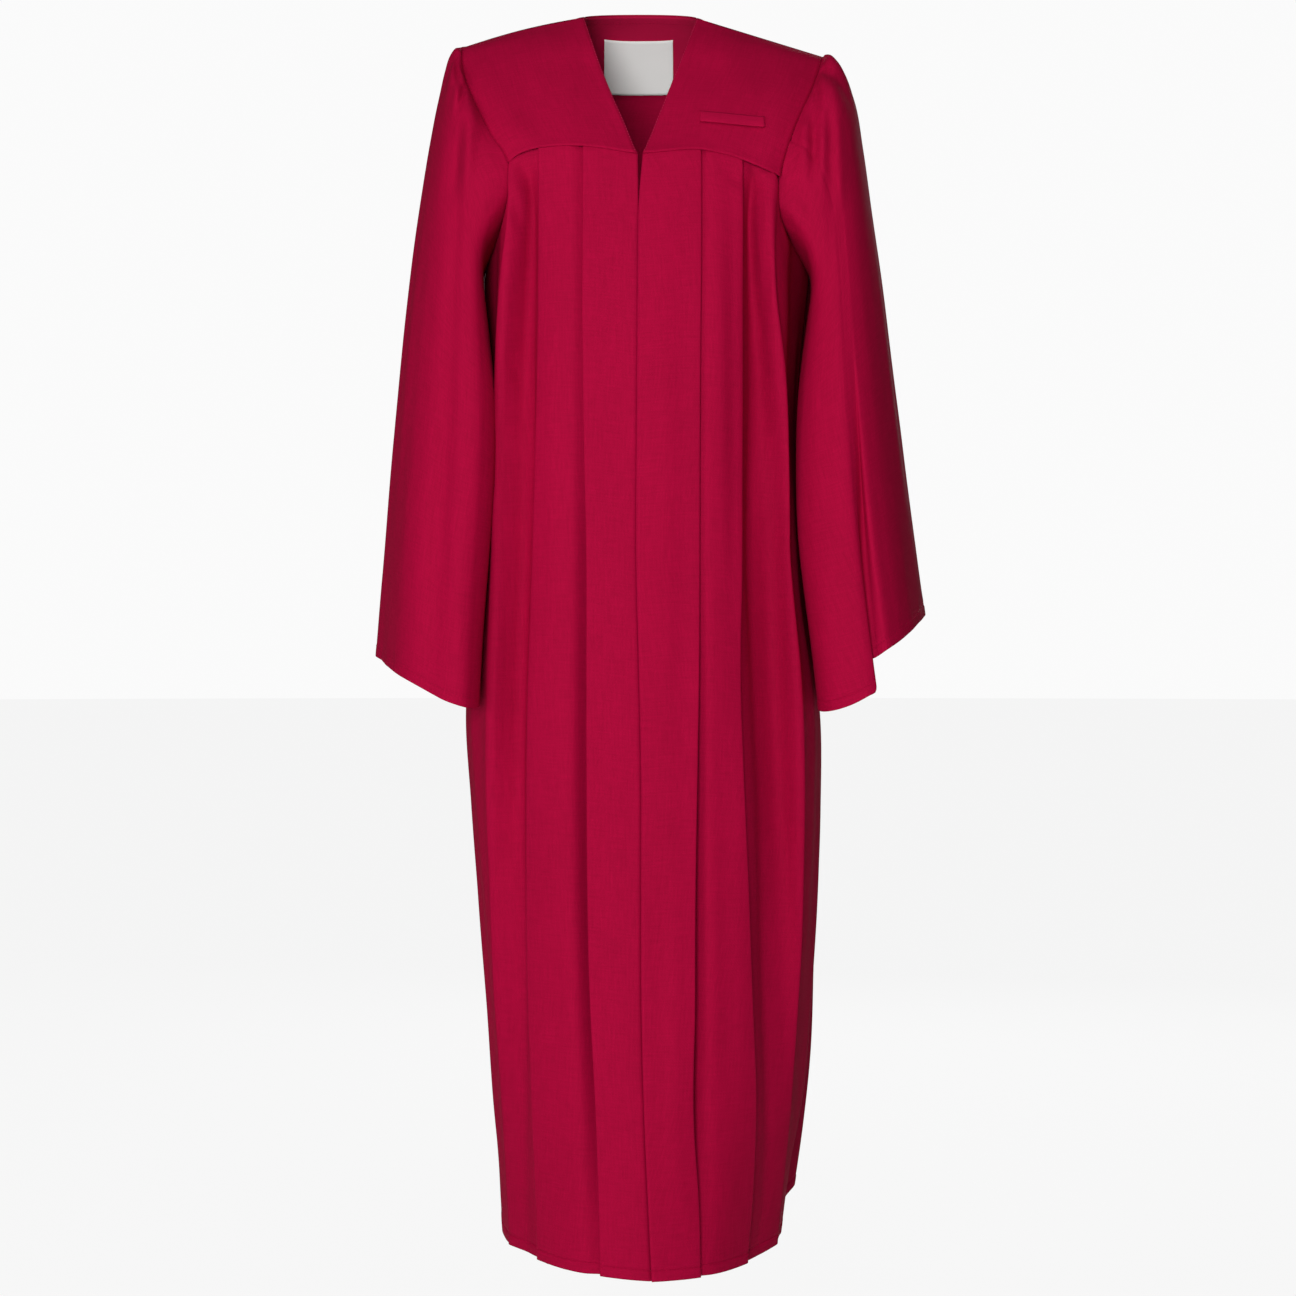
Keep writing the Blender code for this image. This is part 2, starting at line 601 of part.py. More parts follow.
def back_offset(side, degrees, height):
    """How far the soft flutes of the back stand out of its outline."""
    top, waist, hem = FLUTE_HEIGHTS
    upper = smooth_step(top, waist, height)
    lower = smooth_step(waist, hem, height)
    out = 0.0
    for flute in FLUTES[side]:
        size = flute.at_seam + (flute.at_waist - flute.at_seam) * upper
        size += (flute.at_hem - flute.at_waist) * lower
        spread = (degrees - flute.angle) / flute.width
        out += size * math.exp(-spread * spread * FLUTE_SHARPNESS)
    return out


def back_angles(side):
    """Angles of the back panel's columns, from the side seam to the centre back."""
    end = armhole_point(side, BACK_SEAM_END)
    corner = 180.0 - front_angle(side, end.x, end.z)
    sides = [90.0 + (corner - 90.0) * step / SIDE_COLUMNS for step in range(SIDE_COLUMNS)]
    rest = [corner + (180.0 - corner) * step / BACK_COLUMNS for step in range(BACK_COLUMNS + 1)]
    return sides, rest


def back_panel_half(side):
    """Columns of the back panel on one side, each a top point, a hem height and a shift."""
    sides, rest = back_angles(side)
    end = armhole_point(side, BACK_SEAM_END)
    columns = []
    for step, angle in enumerate(sides):
        place = UNDERARM + (BACK_SEAM_END - UNDERARM) * step / SIDE_COLUMNS
        top = armhole_point(side, place)
        base = outline(side, angle, top.z)
        columns.append((angle, top.z, Vector((abs(top.x), top.y)) - base))
    for angle in rest:
        across = outline(side, angle, end.z).x
        height = back_seam_height(side, across)
        columns.append((angle, height, seam_end_shift(side, end, rest[0], across)))
    return columns


def back_panel_points():
    """Rows of points of the back panel, from its left side seam round to its right one."""
    rows = []
    gap = SEAM_GAP / 2.0
    for part in PANEL_ROWS:
        halves = {}
        for side in (LEFT, RIGHT):
            line = []
            for angle, top_height, shift in back_panel_half(side):
                low = hem_height(side, angle)
                height = top_height + (low - top_height) * part
                along, outward = outline_ways(side, angle, height)
                flat = outline(side, angle, height) + outward * back_offset(side, angle, height)
                flat = flat + shift * (1.0 - smooth_step(top_height, top_height - SEAM_FADE, height))
                line.append(Vector((side * flat.x, flat.y, height)))
            line[0].y += gap
            halves[side] = line
        halves[RIGHT].reverse()
        rows.append(halves[LEFT] + halves[RIGHT][1:])
    for column in range(SIDE_COLUMNS, len(rows[0]) - SIDE_COLUMNS):
        rows[0][column].z -= gap
    return rows


def patch(top, bottom, start, end):
    """A smooth surface through four edges, each a list of points: rows from top to bottom."""
    count_down = len(start) - 1
    count_across = len(top) - 1
    rows = []
    for down in range(count_down + 1):
        v = down / count_down
        row = []
        for across in range(count_across + 1):
            u = across / count_across
            rails = top[across] * (1.0 - v) + bottom[across] * v
            ends = start[down] * (1.0 - u) + end[down] * u
            corners = (top[0] * (1.0 - v) + bottom[0] * v) * (1.0 - u)
            corners += (top[-1] * (1.0 - v) + bottom[-1] * v) * u
            row.append(rails + ends - corners)
        rows.append(row)
    return rows


def seam_point(side, across, height, end, end_angle, back):
    """A point of a yoke's lower edge, on the body's plain outline."""
    angle = front_angle(side, across, height)
    if back:
        angle = 180.0 - angle
    flat = outline(side, angle, height) + seam_end_shift(side, end, end_angle, across)
    return Vector((side * flat.x, flat.y, height))


def neck_point(side):
    row = V_EDGES[side][0]
    return Vector((side * row.across, row.depth, row.height))


def shoulder_point(side, share):
    point = neck_point(side).lerp(armhole_point(side, 0.0), share)
    point.z += SHOULDER_RISE[side] * math.sin(math.pi * share)
    return point


def v_edge_point(side, share):
    rows = V_EDGES[side]
    row = ring_at(rows, share * (len(rows) - 1))
    return Vector((side * row.across, row.depth, row.height))


def front_yoke_points(side):
    """Rows of points of a front yoke, from the shoulder to the yoke seam."""
    across = yoke_stations(side)
    end = armhole_point(side, FRONT_SEAM_END)
    end_angle = front_angle(side, end.x, end.z)
    gap = SEAM_GAP / 2.0
    bottom = []
    top = []
    for value in across:
        height = front_seam_height(side, value)
        bottom.append(seam_point(side, value, height, end, end_angle, False))
        top.append(shoulder_point(side, (value - across[0]) / (across[-1] - across[0])))
    inner = [v_edge_point(side, step / YOKE_ROWS) for step in range(YOKE_ROWS + 1)]
    outer = [armhole_point(side, FRONT_SEAM_END * step / YOKE_ROWS) for step in range(YOKE_ROWS + 1)]
    inner[-1] = bottom[0].copy()
    bottom[-1] = outer[-1].copy()
    rows = patch(top, bottom, inner, outer)
    for point in rows[0]:
        point.y -= gap
    for point in rows[-1]:
        point.z += gap
    if side == LEFT:
        return [list(reversed(row)) for row in rows]
    return rows


def back_yoke_points():
    """Rows of points of the back yoke, from its top edge to its seam, left to right."""
    gap = SEAM_GAP / 2.0
    bottom = []
    for side in (LEFT, RIGHT):
        end = armhole_point(side, BACK_SEAM_END)
        rest = back_angles(side)[1]
        half = []
        for angle in rest:
            across = outline(side, angle, end.z).x
            height = back_seam_height(side, across)
            flat = outline(side, angle, height) + seam_end_shift(side, end, rest[0], across)
            half.append(Vector((side * flat.x, flat.y, height + gap)))
        half[0] = end + Vector((0.0, 0.0, gap))
        if side == RIGHT:
            half = list(reversed(half))[1:]
        bottom.extend(half)
    neck_columns = len(bottom) - 1 - 2 * SHOULDER_COLUMNS
    top = []
    for step in range(SHOULDER_COLUMNS):
        top.append(shoulder_point(LEFT, 1.0 - step / SHOULDER_COLUMNS))
    for step in range(neck_columns + 1):
        top.append(back_neck_point(step / neck_columns))
    for step in range(1, SHOULDER_COLUMNS + 1):
        top.append(shoulder_point(RIGHT, step / SHOULDER_COLUMNS))
    last = len(ARMHOLES[LEFT])
    edges = {}
    for side in (LEFT, RIGHT):
        edges[side] = [armhole_point(side, last + (BACK_SEAM_END - last) * step / YOKE_ROWS)
                       for step in range(YOKE_ROWS + 1)]
        edges[side][-1].z += gap
    rows = patch(top, bottom, edges[LEFT], edges[RIGHT])
    for point in rows[0]:
        point.y += gap
    return rows


def back_neck_point(share):
    """The back neckline, an arch from the left neck point round behind to the right one."""
    start = neck_point(LEFT)
    end = neck_point(RIGHT)
    if share < 0.5:
        near, part = start, share * 2.0
    else:
        near, part = end, (1.0 - share) * 2.0
    turn = part * math.pi / 2.0
    across = BACK_NECK.x + (near.x - BACK_NECK.x) * math.cos(turn) ** NECK_ROUNDING
    depth = near.y + (BACK_NECK.y - near.y) * math.sin(turn) ** NECK_ROUNDING
    height = near.z + (BACK_NECK.z - near.z) * math.sin(turn) ** NECK_ROUNDING
    return Vector((across, depth, height))


def ring_point(side, ring, around):
    """A point of a sleeve's ring; around is a share of a turn from its outer line."""
    turn = 2.0 * math.pi * around
    power = 2.0 / SLEEVE_ROUNDNESS
    middle = Vector(((ring.outer_x + ring.inner_x) / 2.0, (ring.front_y + ring.back_y) / 2.0,
                     (ring.front_z + ring.back_z) / 2.0))
    front_x = ring.inner_x + (ring.outer_x - ring.inner_x) * FRONT_LINE_SHARE[side]
    back_x = ring.inner_x + (ring.outer_x - ring.inner_x) * BACK_LINE_SHARE
    spokes = ((math.cos(turn), Vector((ring.outer_x, middle.y, ring.outer_z))),
              (-math.cos(turn), Vector((ring.inner_x, middle.y, ring.inner_z))),
              (math.sin(turn), Vector((front_x, ring.front_y, ring.front_z))),
              (-math.sin(turn), Vector((back_x, ring.back_y, ring.back_z))))
    point = middle.copy()
    for weight, guide in spokes:
        point += (guide - middle) * max(weight, 0.0) ** power
    return point


def clear_of_body(side, point, place):
    """Move a sleeve point out so that it hangs just clear of the body."""
    girth = read_row(GIRTHS, point.z)
    reach = SIDE_DEPTH - girth.front if point.y < SIDE_DEPTH else girth.back - SIDE_DEPTH
    share = min(abs(point.y - SIDE_DEPTH) / reach, 1.0)
    body = half_width(side, girth) * (1.0 - share ** girth.square) ** (1.0 / girth.square)
    least = body + SLEEVE_CLEARANCE * smooth_step(0.0, 3.0, place)
    apart = point.x - least
    point.x = least + (apart + math.hypot(apart, SLEEVE_SOFTNESS)) / 2.0
    return point


def sleeve_offset(side, around, place):
    """How far the long soft folds stand out of the plain sleeve."""
    last = len(RINGS[side]) - 1
    upper = smooth_step(2.0, ELBOW_RING, place)
    lower = smooth_step(ELBOW_RING, last, place)
    out = 0.0
    for fold in SLEEVE_FOLDS[side]:
        size = fold.at_elbow * upper + (fold.at_hem - fold.at_elbow) * lower
        spread = (around - fold.around) / fold.width
        out += size * math.exp(-spread * spread)
    return out


def armhole_around(side, place):
    """The share of a turn at which a point of the armhole stands."""
    middle = (armhole_point(side, 0.0) + armhole_point(side, UNDERARM)) / 2.0
    spoke = armhole_point(side, place) - middle
    return (math.atan2(-spoke.y, spoke.z) / (2.0 * math.pi)) % 1.0


def sleeve_plain_point(side, around, place):
    """A point of the sleeve below its head, in distances across from the middle."""
    ring = ring_at(RINGS[side], place)
    point = ring_point(side, ring, around)
    middle = Vector(((ring.outer_x + ring.inner_x) / 2.0, (ring.front_y + ring.back_y) / 2.0, point.z))
    outward = (point - middle).normalized()
    point += outward * sleeve_offset(side, around, place)
    return clear_of_body(side, point, place)


def sleeve_points(side):
    """Rows of points of a sleeve from the armhole to the hem, closed round."""
    stations = armhole_stations()
    rings = RINGS[side]
    base = []
    for place in stations:
        hole = armhole_point(side, place)
        around = armhole_around(side, place)
        flat = Vector((abs(hole.x), hole.y, hole.z))
        base.append((place, around, flat - ring_point(side, rings[0], around)))
    rows = []
    for ring_place in SLEEVE_ROWS[side]:
        row = []
        for index, (place, around, miss) in enumerate(base):
            if ring_place == 0:
                point = armhole_point(side, place) + gap_way(side, place) * SLEEVE_SEAM_GAP
                point.x *= side
            else:
                fade = max(1.0 - ring_place / HEAD_RINGS, 0.0) ** 2
                point = sleeve_plain_point(side, around, ring_place) + miss * fade
                cap = max(math.cos(2.0 * math.pi * around), 0.0) * smooth_step(HEAD_RINGS, 2.0, ring_place)
                wave = GATHER if index % 2 else -GATHER
                point.z += wave * cap
            row.append(Vector((side * point.x, point.y, point.z)))
        rows.append(row)
    places = list(stations)
    if side == LEFT:
        add_deep_fold(rows, base, places)
    for row in rows:
        row.append(row[0].copy())
    return rows, places


def gap_way(side, place):
    """The direction across the armhole seam, from the body to the sleeve."""
    step = 0.02
    along = (armhole_point(side, place + step) - armhole_point(side, place - step)).normalized()
    across = along.cross(armhole_lean(side, place)).normalized()
    if across.x * side < 0:
        across.negate()
    return across


def level_way(start, end):
    """The level direction from one point to another, and the one out of the sleeve beside it."""
    along = Vector((end.x - start.x, end.y - start.y, 0.0)).normalized()
    return along, Vector((along.y, -along.x, 0.0))


def along_row(edge, front, beyond, reach):
    """The point at a reach from a fold's edge along the front of its row."""
    near = (front - edge).length
    if reach <= near:
        return edge.lerp(front, reach / near)
    return front.lerp(beyond, (reach - near) / (beyond - front).length)


def add_deep_fold(rows, base, places):
    """Lay the front of the left sleeve over its outer side in one fold above the hem."""
    shares = [around for place, around, miss in base]
    index = max(step for step in range(YOKE_ROWS + 1) if shares[step] <= DEEP_FOLD_AROUND)
    last = SLEEVE_ROWS[LEFT][-1]
    count = len(DEEP_FOLD_BENDS)
    for ring_place, row in zip(SLEEVE_ROWS[LEFT], rows):
        opened = smooth_step(DEEP_FOLD_RING - 1.5, DEEP_FOLD_RING + 1.0, ring_place)
        laid = smooth_step(DEEP_FOLD_RING, last, ring_place)
        front = row[index + 1]
        outer = row[index]
        edge = front.lerp(outer, DEEP_FOLD_EDGE)
        beyond = row[index + 2]
        along, outward = level_way(front, outer)
        outward = (outward + level_way(beyond, front)[1]).normalized()
        extra = []
        for number, bend in enumerate(DEEP_FOLD_BENDS):
            plain = front.lerp(outer, (number + 1) / (count + 1))
            across = (plain - edge).dot(along) * (1.0 - laid) + bend.along * laid
            folded = along_row(edge, front, beyond, -across) if across < 0.0 else edge + along * across
            folded = folded - outward * bend.behind * opened
            fall = DEEP_FOLD_DROP * (number / (count - 1) - 0.5)
            folded.z = plain.z + (edge.z + fall - plain.z) * laid
            extra.append(folded)
        for column, (place, around, miss) in enumerate(base):
            near = max(1.0 - abs(around - DEEP_FOLD_AROUND) / DEEP_FOLD_SPREAD, 0.0) * laid / 2.0
            row[column].z += DEEP_FOLD_DROP * (near if column <= index else -near)
        row[index + 1:index + 1] = list(reversed(extra))
    start = places[index]
    span = places[index + 1] - start
    places[index + 1:index + 1] = [start + span * (number + 1) / (count + 1) for number in range(count)]


def point_on(rows, down, across):
    """A point between the points of a piece, by its row and column as real numbers."""
    low_row = min(max(int(down), 0), len(rows) - 2)
    low_column = min(max(int(across), 0), len(rows[0]) - 2)
    share_down = down - low_row
    share_across = across - low_column
    upper = rows[low_row][low_column].lerp(rows[low_row][low_column + 1], share_across)
    lower = rows[low_row + 1][low_column].lerp(rows[low_row + 1][low_column + 1], share_across)
    return upper.lerp(lower, share_down)


def normal_on(rows, down, across):
    step = 0.3
    ahead = point_on(rows, down, across + step) - point_on(rows, down, across - step)
    below = point_on(rows, down + step, across) - point_on(rows, down - step, across)
    return below.cross(ahead).normalized()


def place_of(rows, across_x, height):
    """The row and column of the point of a piece that the front view shows at a place."""
    down = (len(rows) - 1) / 2.0
    across = (len(rows[0]) - 1) / 2.0
    step = 0.01
    pace = 0.8
    for attempt in range(30):
        here = point_on(rows, down, across)
        by_row = (point_on(rows, down + step, across) - here) / step
        by_column = (point_on(rows, down, across + step) - here) / step
        error_x = across_x - here.x
        error_z = height - here.z
        scale = by_row.x * by_column.z - by_column.x * by_row.z
        down += pace * (error_x * by_column.z - error_z * by_column.x) / scale
        across += pace * (by_row.x * error_z - by_row.z * error_x) / scale
        down = min(max(down, 0.0), len(rows) - 1.0)
        across = min(max(across, 0.0), len(rows[0]) - 1.0)
    return down, across


def strip_points(rows, strip, count_across, count_down, lift):
    """Points of a strip that lies on a piece, lifted off it along its normals."""
    result = []
    for down in range(count_down + 1):
        fall = strip.tall * (0.5 - down / count_down)
        row = []
        for across in range(count_across + 1):
            share = across / count_across
            x = strip.inner_x + (strip.outer_x - strip.inner_x) * share
            z = strip.inner_z + (strip.outer_z - strip.inner_z) * share + fall
            place = place_of(rows, x, z)
            row.append(point_on(rows, *place) + normal_on(rows, *place) * lift)
        result.append(row)
    return result


def facing_points(rows, lift):
    """The back neck facing: the upper middle of the back yoke's points, moved inward."""
    first = SHOULDER_COLUMNS - 2
    last = len(rows[0]) - 1 - first
    result = []
    for down in FACING_ROWS:
        row = []
        for across in range(first, last + 1):
            row.append(point_on(rows, down, across) + normal_on(rows, down, across) * lift)
        result.append(row)
    return result


def cloth_wall(name, rows, wall, material, closed=False, leans=None):
    """A closed cloth wall with the given rows of points midway through it."""
    leans = leans or {}
    count_down = len(rows) - 1
    count_across = len(rows[0]) - 1
    mesh = bmesh.new()
    bmesh.ops.create_grid(mesh, x_segments=count_across, y_segments=count_down, size=0.5)
    row_mark = mesh.verts.layers.int.new("row")
    column_mark = mesh.verts.layers.int.new("column")
    for vertex in mesh.verts:
        column = round((vertex.co.x + 0.5) * count_across)
        row = round((0.5 - vertex.co.y) * count_down)
        vertex[row_mark] = row
        vertex[column_mark] = column
        vertex.co = rows[row][column]
    if closed:
        bmesh.ops.remove_doubles(mesh, verts=mesh.verts[:], dist=0.000001)
    mesh.normal_update()
    moves = {}
    for vertex in mesh.verts:
        key = (vertex[row_mark], vertex[column_mark])
        way = vertex.normal.copy()
        lean = leans.get(key)
        if lean is not None:
            facing = lean.dot(way)
            way = lean / math.copysign(max(abs(facing), LEAST_LEAN), facing)
        moves[key] = way * wall / 2.0
    inner = bmesh.ops.extrude_face_region(mesh, geom=mesh.faces[:], use_keep_orig=True)
    copies = {item for item in inner["geom"] if isinstance(item, bmesh.types.BMVert)}
    for vertex in mesh.verts:
        move = moves[(vertex[row_mark], vertex[column_mark])]
        vertex.co = vertex.co - move if vertex in copies else vertex.co + move
    bmesh.ops.recalc_face_normals(mesh, faces=mesh.faces[:])
    data = bpy.data.meshes.new(name)
    mesh.to_mesh(data)
    mesh.free()
    data.materials.append(material)
    data.shade_smooth()
    piece = bpy.data.objects.new(name, data)
    bpy.context.scene.collection.objects.link(piece)
    return piece


def front_panel_leans(side, names):
    """Wall directions of a front panel along its armhole edge."""
    leans = {}
    sides = [column for column, name in enumerate(names) if name == "side"]
    if side == LEFT:
        sides = list(reversed(sides))
    for step, column in enumerate(sides):
        place = FRONT_SEAM_END + (UNDERARM - FRONT_SEAM_END) * (step + 1) / SIDE_COLUMNS
        leans[(0, column)] = armhole_lean(side, place)
    corner = sides[0] + (1 if side == LEFT else -1)
    leans[(0, corner)] = armhole_lean(side, FRONT_SEAM_END)
    return leans


def back_panel_leans(rows):
    leans = {}
    last = len(rows[0]) - 1
    for step in range(SIDE_COLUMNS + 1):
        place = UNDERARM + (BACK_SEAM_END - UNDERARM) * step / SIDE_COLUMNS
        leans[(0, step)] = armhole_lean(LEFT, place)
        leans[(0, last - step)] = armhole_lean(RIGHT, place)
    return leans


def front_yoke_leans(side, rows):
    leans = {}
    last = len(rows[0]) - 1
    for column in range(last + 1):
        leans[(0, column)] = Vector((SHOULDER_LEAN * side, 0.0, 1.0)).normalized()
    edge = 0 if side == LEFT else last
    for step in range(YOKE_ROWS + 1):
        leans[(step, edge)] = armhole_lean(side, FRONT_SEAM_END * step / YOKE_ROWS)
    return leans


def back_yoke_leans(rows):
    leans = {}
    last = len(rows[0]) - 1
    top = len(ARMHOLES[LEFT])
    for side in (LEFT, RIGHT):
        for step in range(SHOULDER_COLUMNS + 1):
            column = step if side == LEFT else last - step
            leans[(0, column)] = Vector((SHOULDER_LEAN * side, 0.0, 1.0)).normalized()
        edge = 0 if side == LEFT else last
        for step in range(YOKE_ROWS + 1):
            place = top + (BACK_SEAM_END - top) * step / YOKE_ROWS
            leans[(step, edge)] = armhole_lean(side, place)
    return leans


def build_fronts(cloth):
    for side in (RIGHT, LEFT):
        rows, names = front_panel_points(side)
        leans = front_panel_leans(side, names)
        cloth_wall("front_panel_" + SIDE_NAMES[side], rows, WALL, cloth, leans=leans)


def build_yokes(cloth, shade, white):
    yokes = {}
    for side in (RIGHT, LEFT):
        rows = front_yoke_points(side)
        yokes[side] = rows
        leans = front_yoke_leans(side, rows)
        cloth_wall("front_yoke_" + SIDE_NAMES[side], rows, WALL, cloth, leans=leans)
    lift = -(WALL + SEAM_GAP)
    welt = strip_points(yokes[LEFT], WELT, 8, 2, lift)
    cloth_wall("pocket_welt", welt, WALL, cloth)
    back = back_yoke_points()
    cloth_wall("back_yoke", back, WALL, cloth, leans=back_yoke_leans(back))
    cloth_wall("back_neck_facing", facing_points(back, lift), WALL, shade)
    label_lift = lift - WALL / 2.0 - LABEL_GAP - LABEL_WALL / 2.0
    label = strip_points(back, LABEL, 8, 4, label_lift)
    cloth_wall("neck_label", label, LABEL_WALL, white)


def build_back(cloth):
    rows = back_panel_points()
    cloth_wall("back_panel", rows, WALL, cloth, leans=back_panel_leans(rows))


def build_sleeves(cloth):
    for side in (RIGHT, LEFT):
        rows, places = sleeve_points(side)
        leans = {(0, column): armhole_lean(side, place) for column, place in enumerate(places)}
        cloth_wall("sleeve_" + SIDE_NAMES[side], rows, WALL, cloth, closed=True, leans=leans)


def build():
    clear_scene()
    cloth = cloth_material("wine_cloth", CLOTH, 0.72)
    shade = cloth_material("wine_cloth_inside", CLOTH_SHADE, 0.78)
    white = cloth_material("label_white", WHITE, 0.6)
    build_fronts(cloth)
    build_yokes(cloth, shade, white)
    build_back(cloth)
    build_sleeves(cloth)


build()
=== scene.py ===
"""A wine-red graduation gown, hollow and open, as it hangs on its wearer."""

import math
from collections import namedtuple

import bmesh
import bpy
from mathutils import Euler, Matrix, Vector, noise


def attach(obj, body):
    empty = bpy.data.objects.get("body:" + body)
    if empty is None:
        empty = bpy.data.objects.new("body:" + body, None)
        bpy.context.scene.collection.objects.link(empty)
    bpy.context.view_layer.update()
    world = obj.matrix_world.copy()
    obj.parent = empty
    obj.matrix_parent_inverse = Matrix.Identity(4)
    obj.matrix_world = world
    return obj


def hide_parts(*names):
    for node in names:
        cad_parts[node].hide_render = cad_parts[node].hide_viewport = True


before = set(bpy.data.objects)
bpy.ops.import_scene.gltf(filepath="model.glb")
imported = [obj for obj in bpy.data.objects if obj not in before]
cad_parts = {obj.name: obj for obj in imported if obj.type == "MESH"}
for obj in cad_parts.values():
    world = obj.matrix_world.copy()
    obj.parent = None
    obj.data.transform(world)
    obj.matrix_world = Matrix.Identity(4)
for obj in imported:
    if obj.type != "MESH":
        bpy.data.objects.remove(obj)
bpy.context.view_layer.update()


# Front panels. Two lengths of matte woven polyester, each pressed into two pleats under the
# yoke that hang open down to a stitched hem. They meet down the middle, the wearer's left
# one lapping the right below the waist, and turn round the body to the side seams.

# Metres and degrees: the gaps between sewn pieces, the radius of a pleat's turn, how far behind
# the neck the side seams lie, how far below a seam its shape fades into the panel's, from what
# share of its length a seam leaves the plain outline, and where the hem turns to the side.
SEAM_GAP = 0.0003
TOP_GAP = 0.00045
TURN = 0.0013
SIDE_DEPTH = 0.030
SEAM_FADE = 0.16
SEAM_SHIFT_START = 0.55
HEM_CORNER = 60.0
RIGHT = -1
LEFT = 1
SIDES = ((RIGHT, "right"), (LEFT, "left"))


def table_of(kind, rows):
    """A table whose rows have the named columns of their kind."""
    return tuple(kind(*row) for row in rows)


# Plan of the body at each height: the depth of its front and back, half its width on the
# wearer's right and left, and how square it is, from 2 for an ellipse upwards.
Girth = namedtuple("Girth", "height front back right left square")
GIRTHS = table_of(Girth, (
    (-0.140, -0.111, 0.128, 0.170, 0.182, 2.60),
    (-0.220, -0.121, 0.136, 0.159, 0.180, 2.60),
    (-0.300, -0.127, 0.140, 0.157, 0.172, 2.60),
    (-0.400, -0.131, 0.142, 0.150, 0.162, 2.60),
    (-0.500, -0.135, 0.147, 0.159, 0.164, 2.55),
    (-0.600, -0.140, 0.155, 0.165, 0.171, 2.50),
    (-0.700, -0.144, 0.164, 0.177, 0.186, 2.45),
    (-0.850, -0.150, 0.178, 0.168, 0.185, 2.40),
    (-1.000, -0.157, 0.190, 0.156, 0.176, 2.25),
    (-1.100, -0.162, 0.198, 0.149, 0.167, 2.15),
    (-1.180, -0.166, 0.202, 0.142, 0.154, 2.05),
    (-1.250, -0.170, 0.205, 0.139, 0.145, 2.00),
))
# The line where the two fronts meet: how far it wanders to the wearer's left, the slit left
# open at the foot of the V neck, and how far the left front stands out to lap the right one.
Centre = namedtuple("Centre", "height shift slit lap")
CENTRES = table_of(Centre, (
    (-0.160, -0.0010, 0.0056, 0.0000),
    (-0.185, -0.0006, 0.0030, 0.0000),
    (-0.215, -0.0002, 0.0003, 0.0000),
    (-0.500, -0.0020, 0.0003, 0.0000),
    (-0.620, -0.0015, 0.0003, 0.0004),
    (-0.700, 0.0022, 0.0003, 0.0022),
    (-0.980, 0.0030, 0.0003, 0.0028),
    (-1.090, 0.0055, 0.0003, 0.0028),
    (-1.250, 0.0126, 0.0003, 0.0026),
))
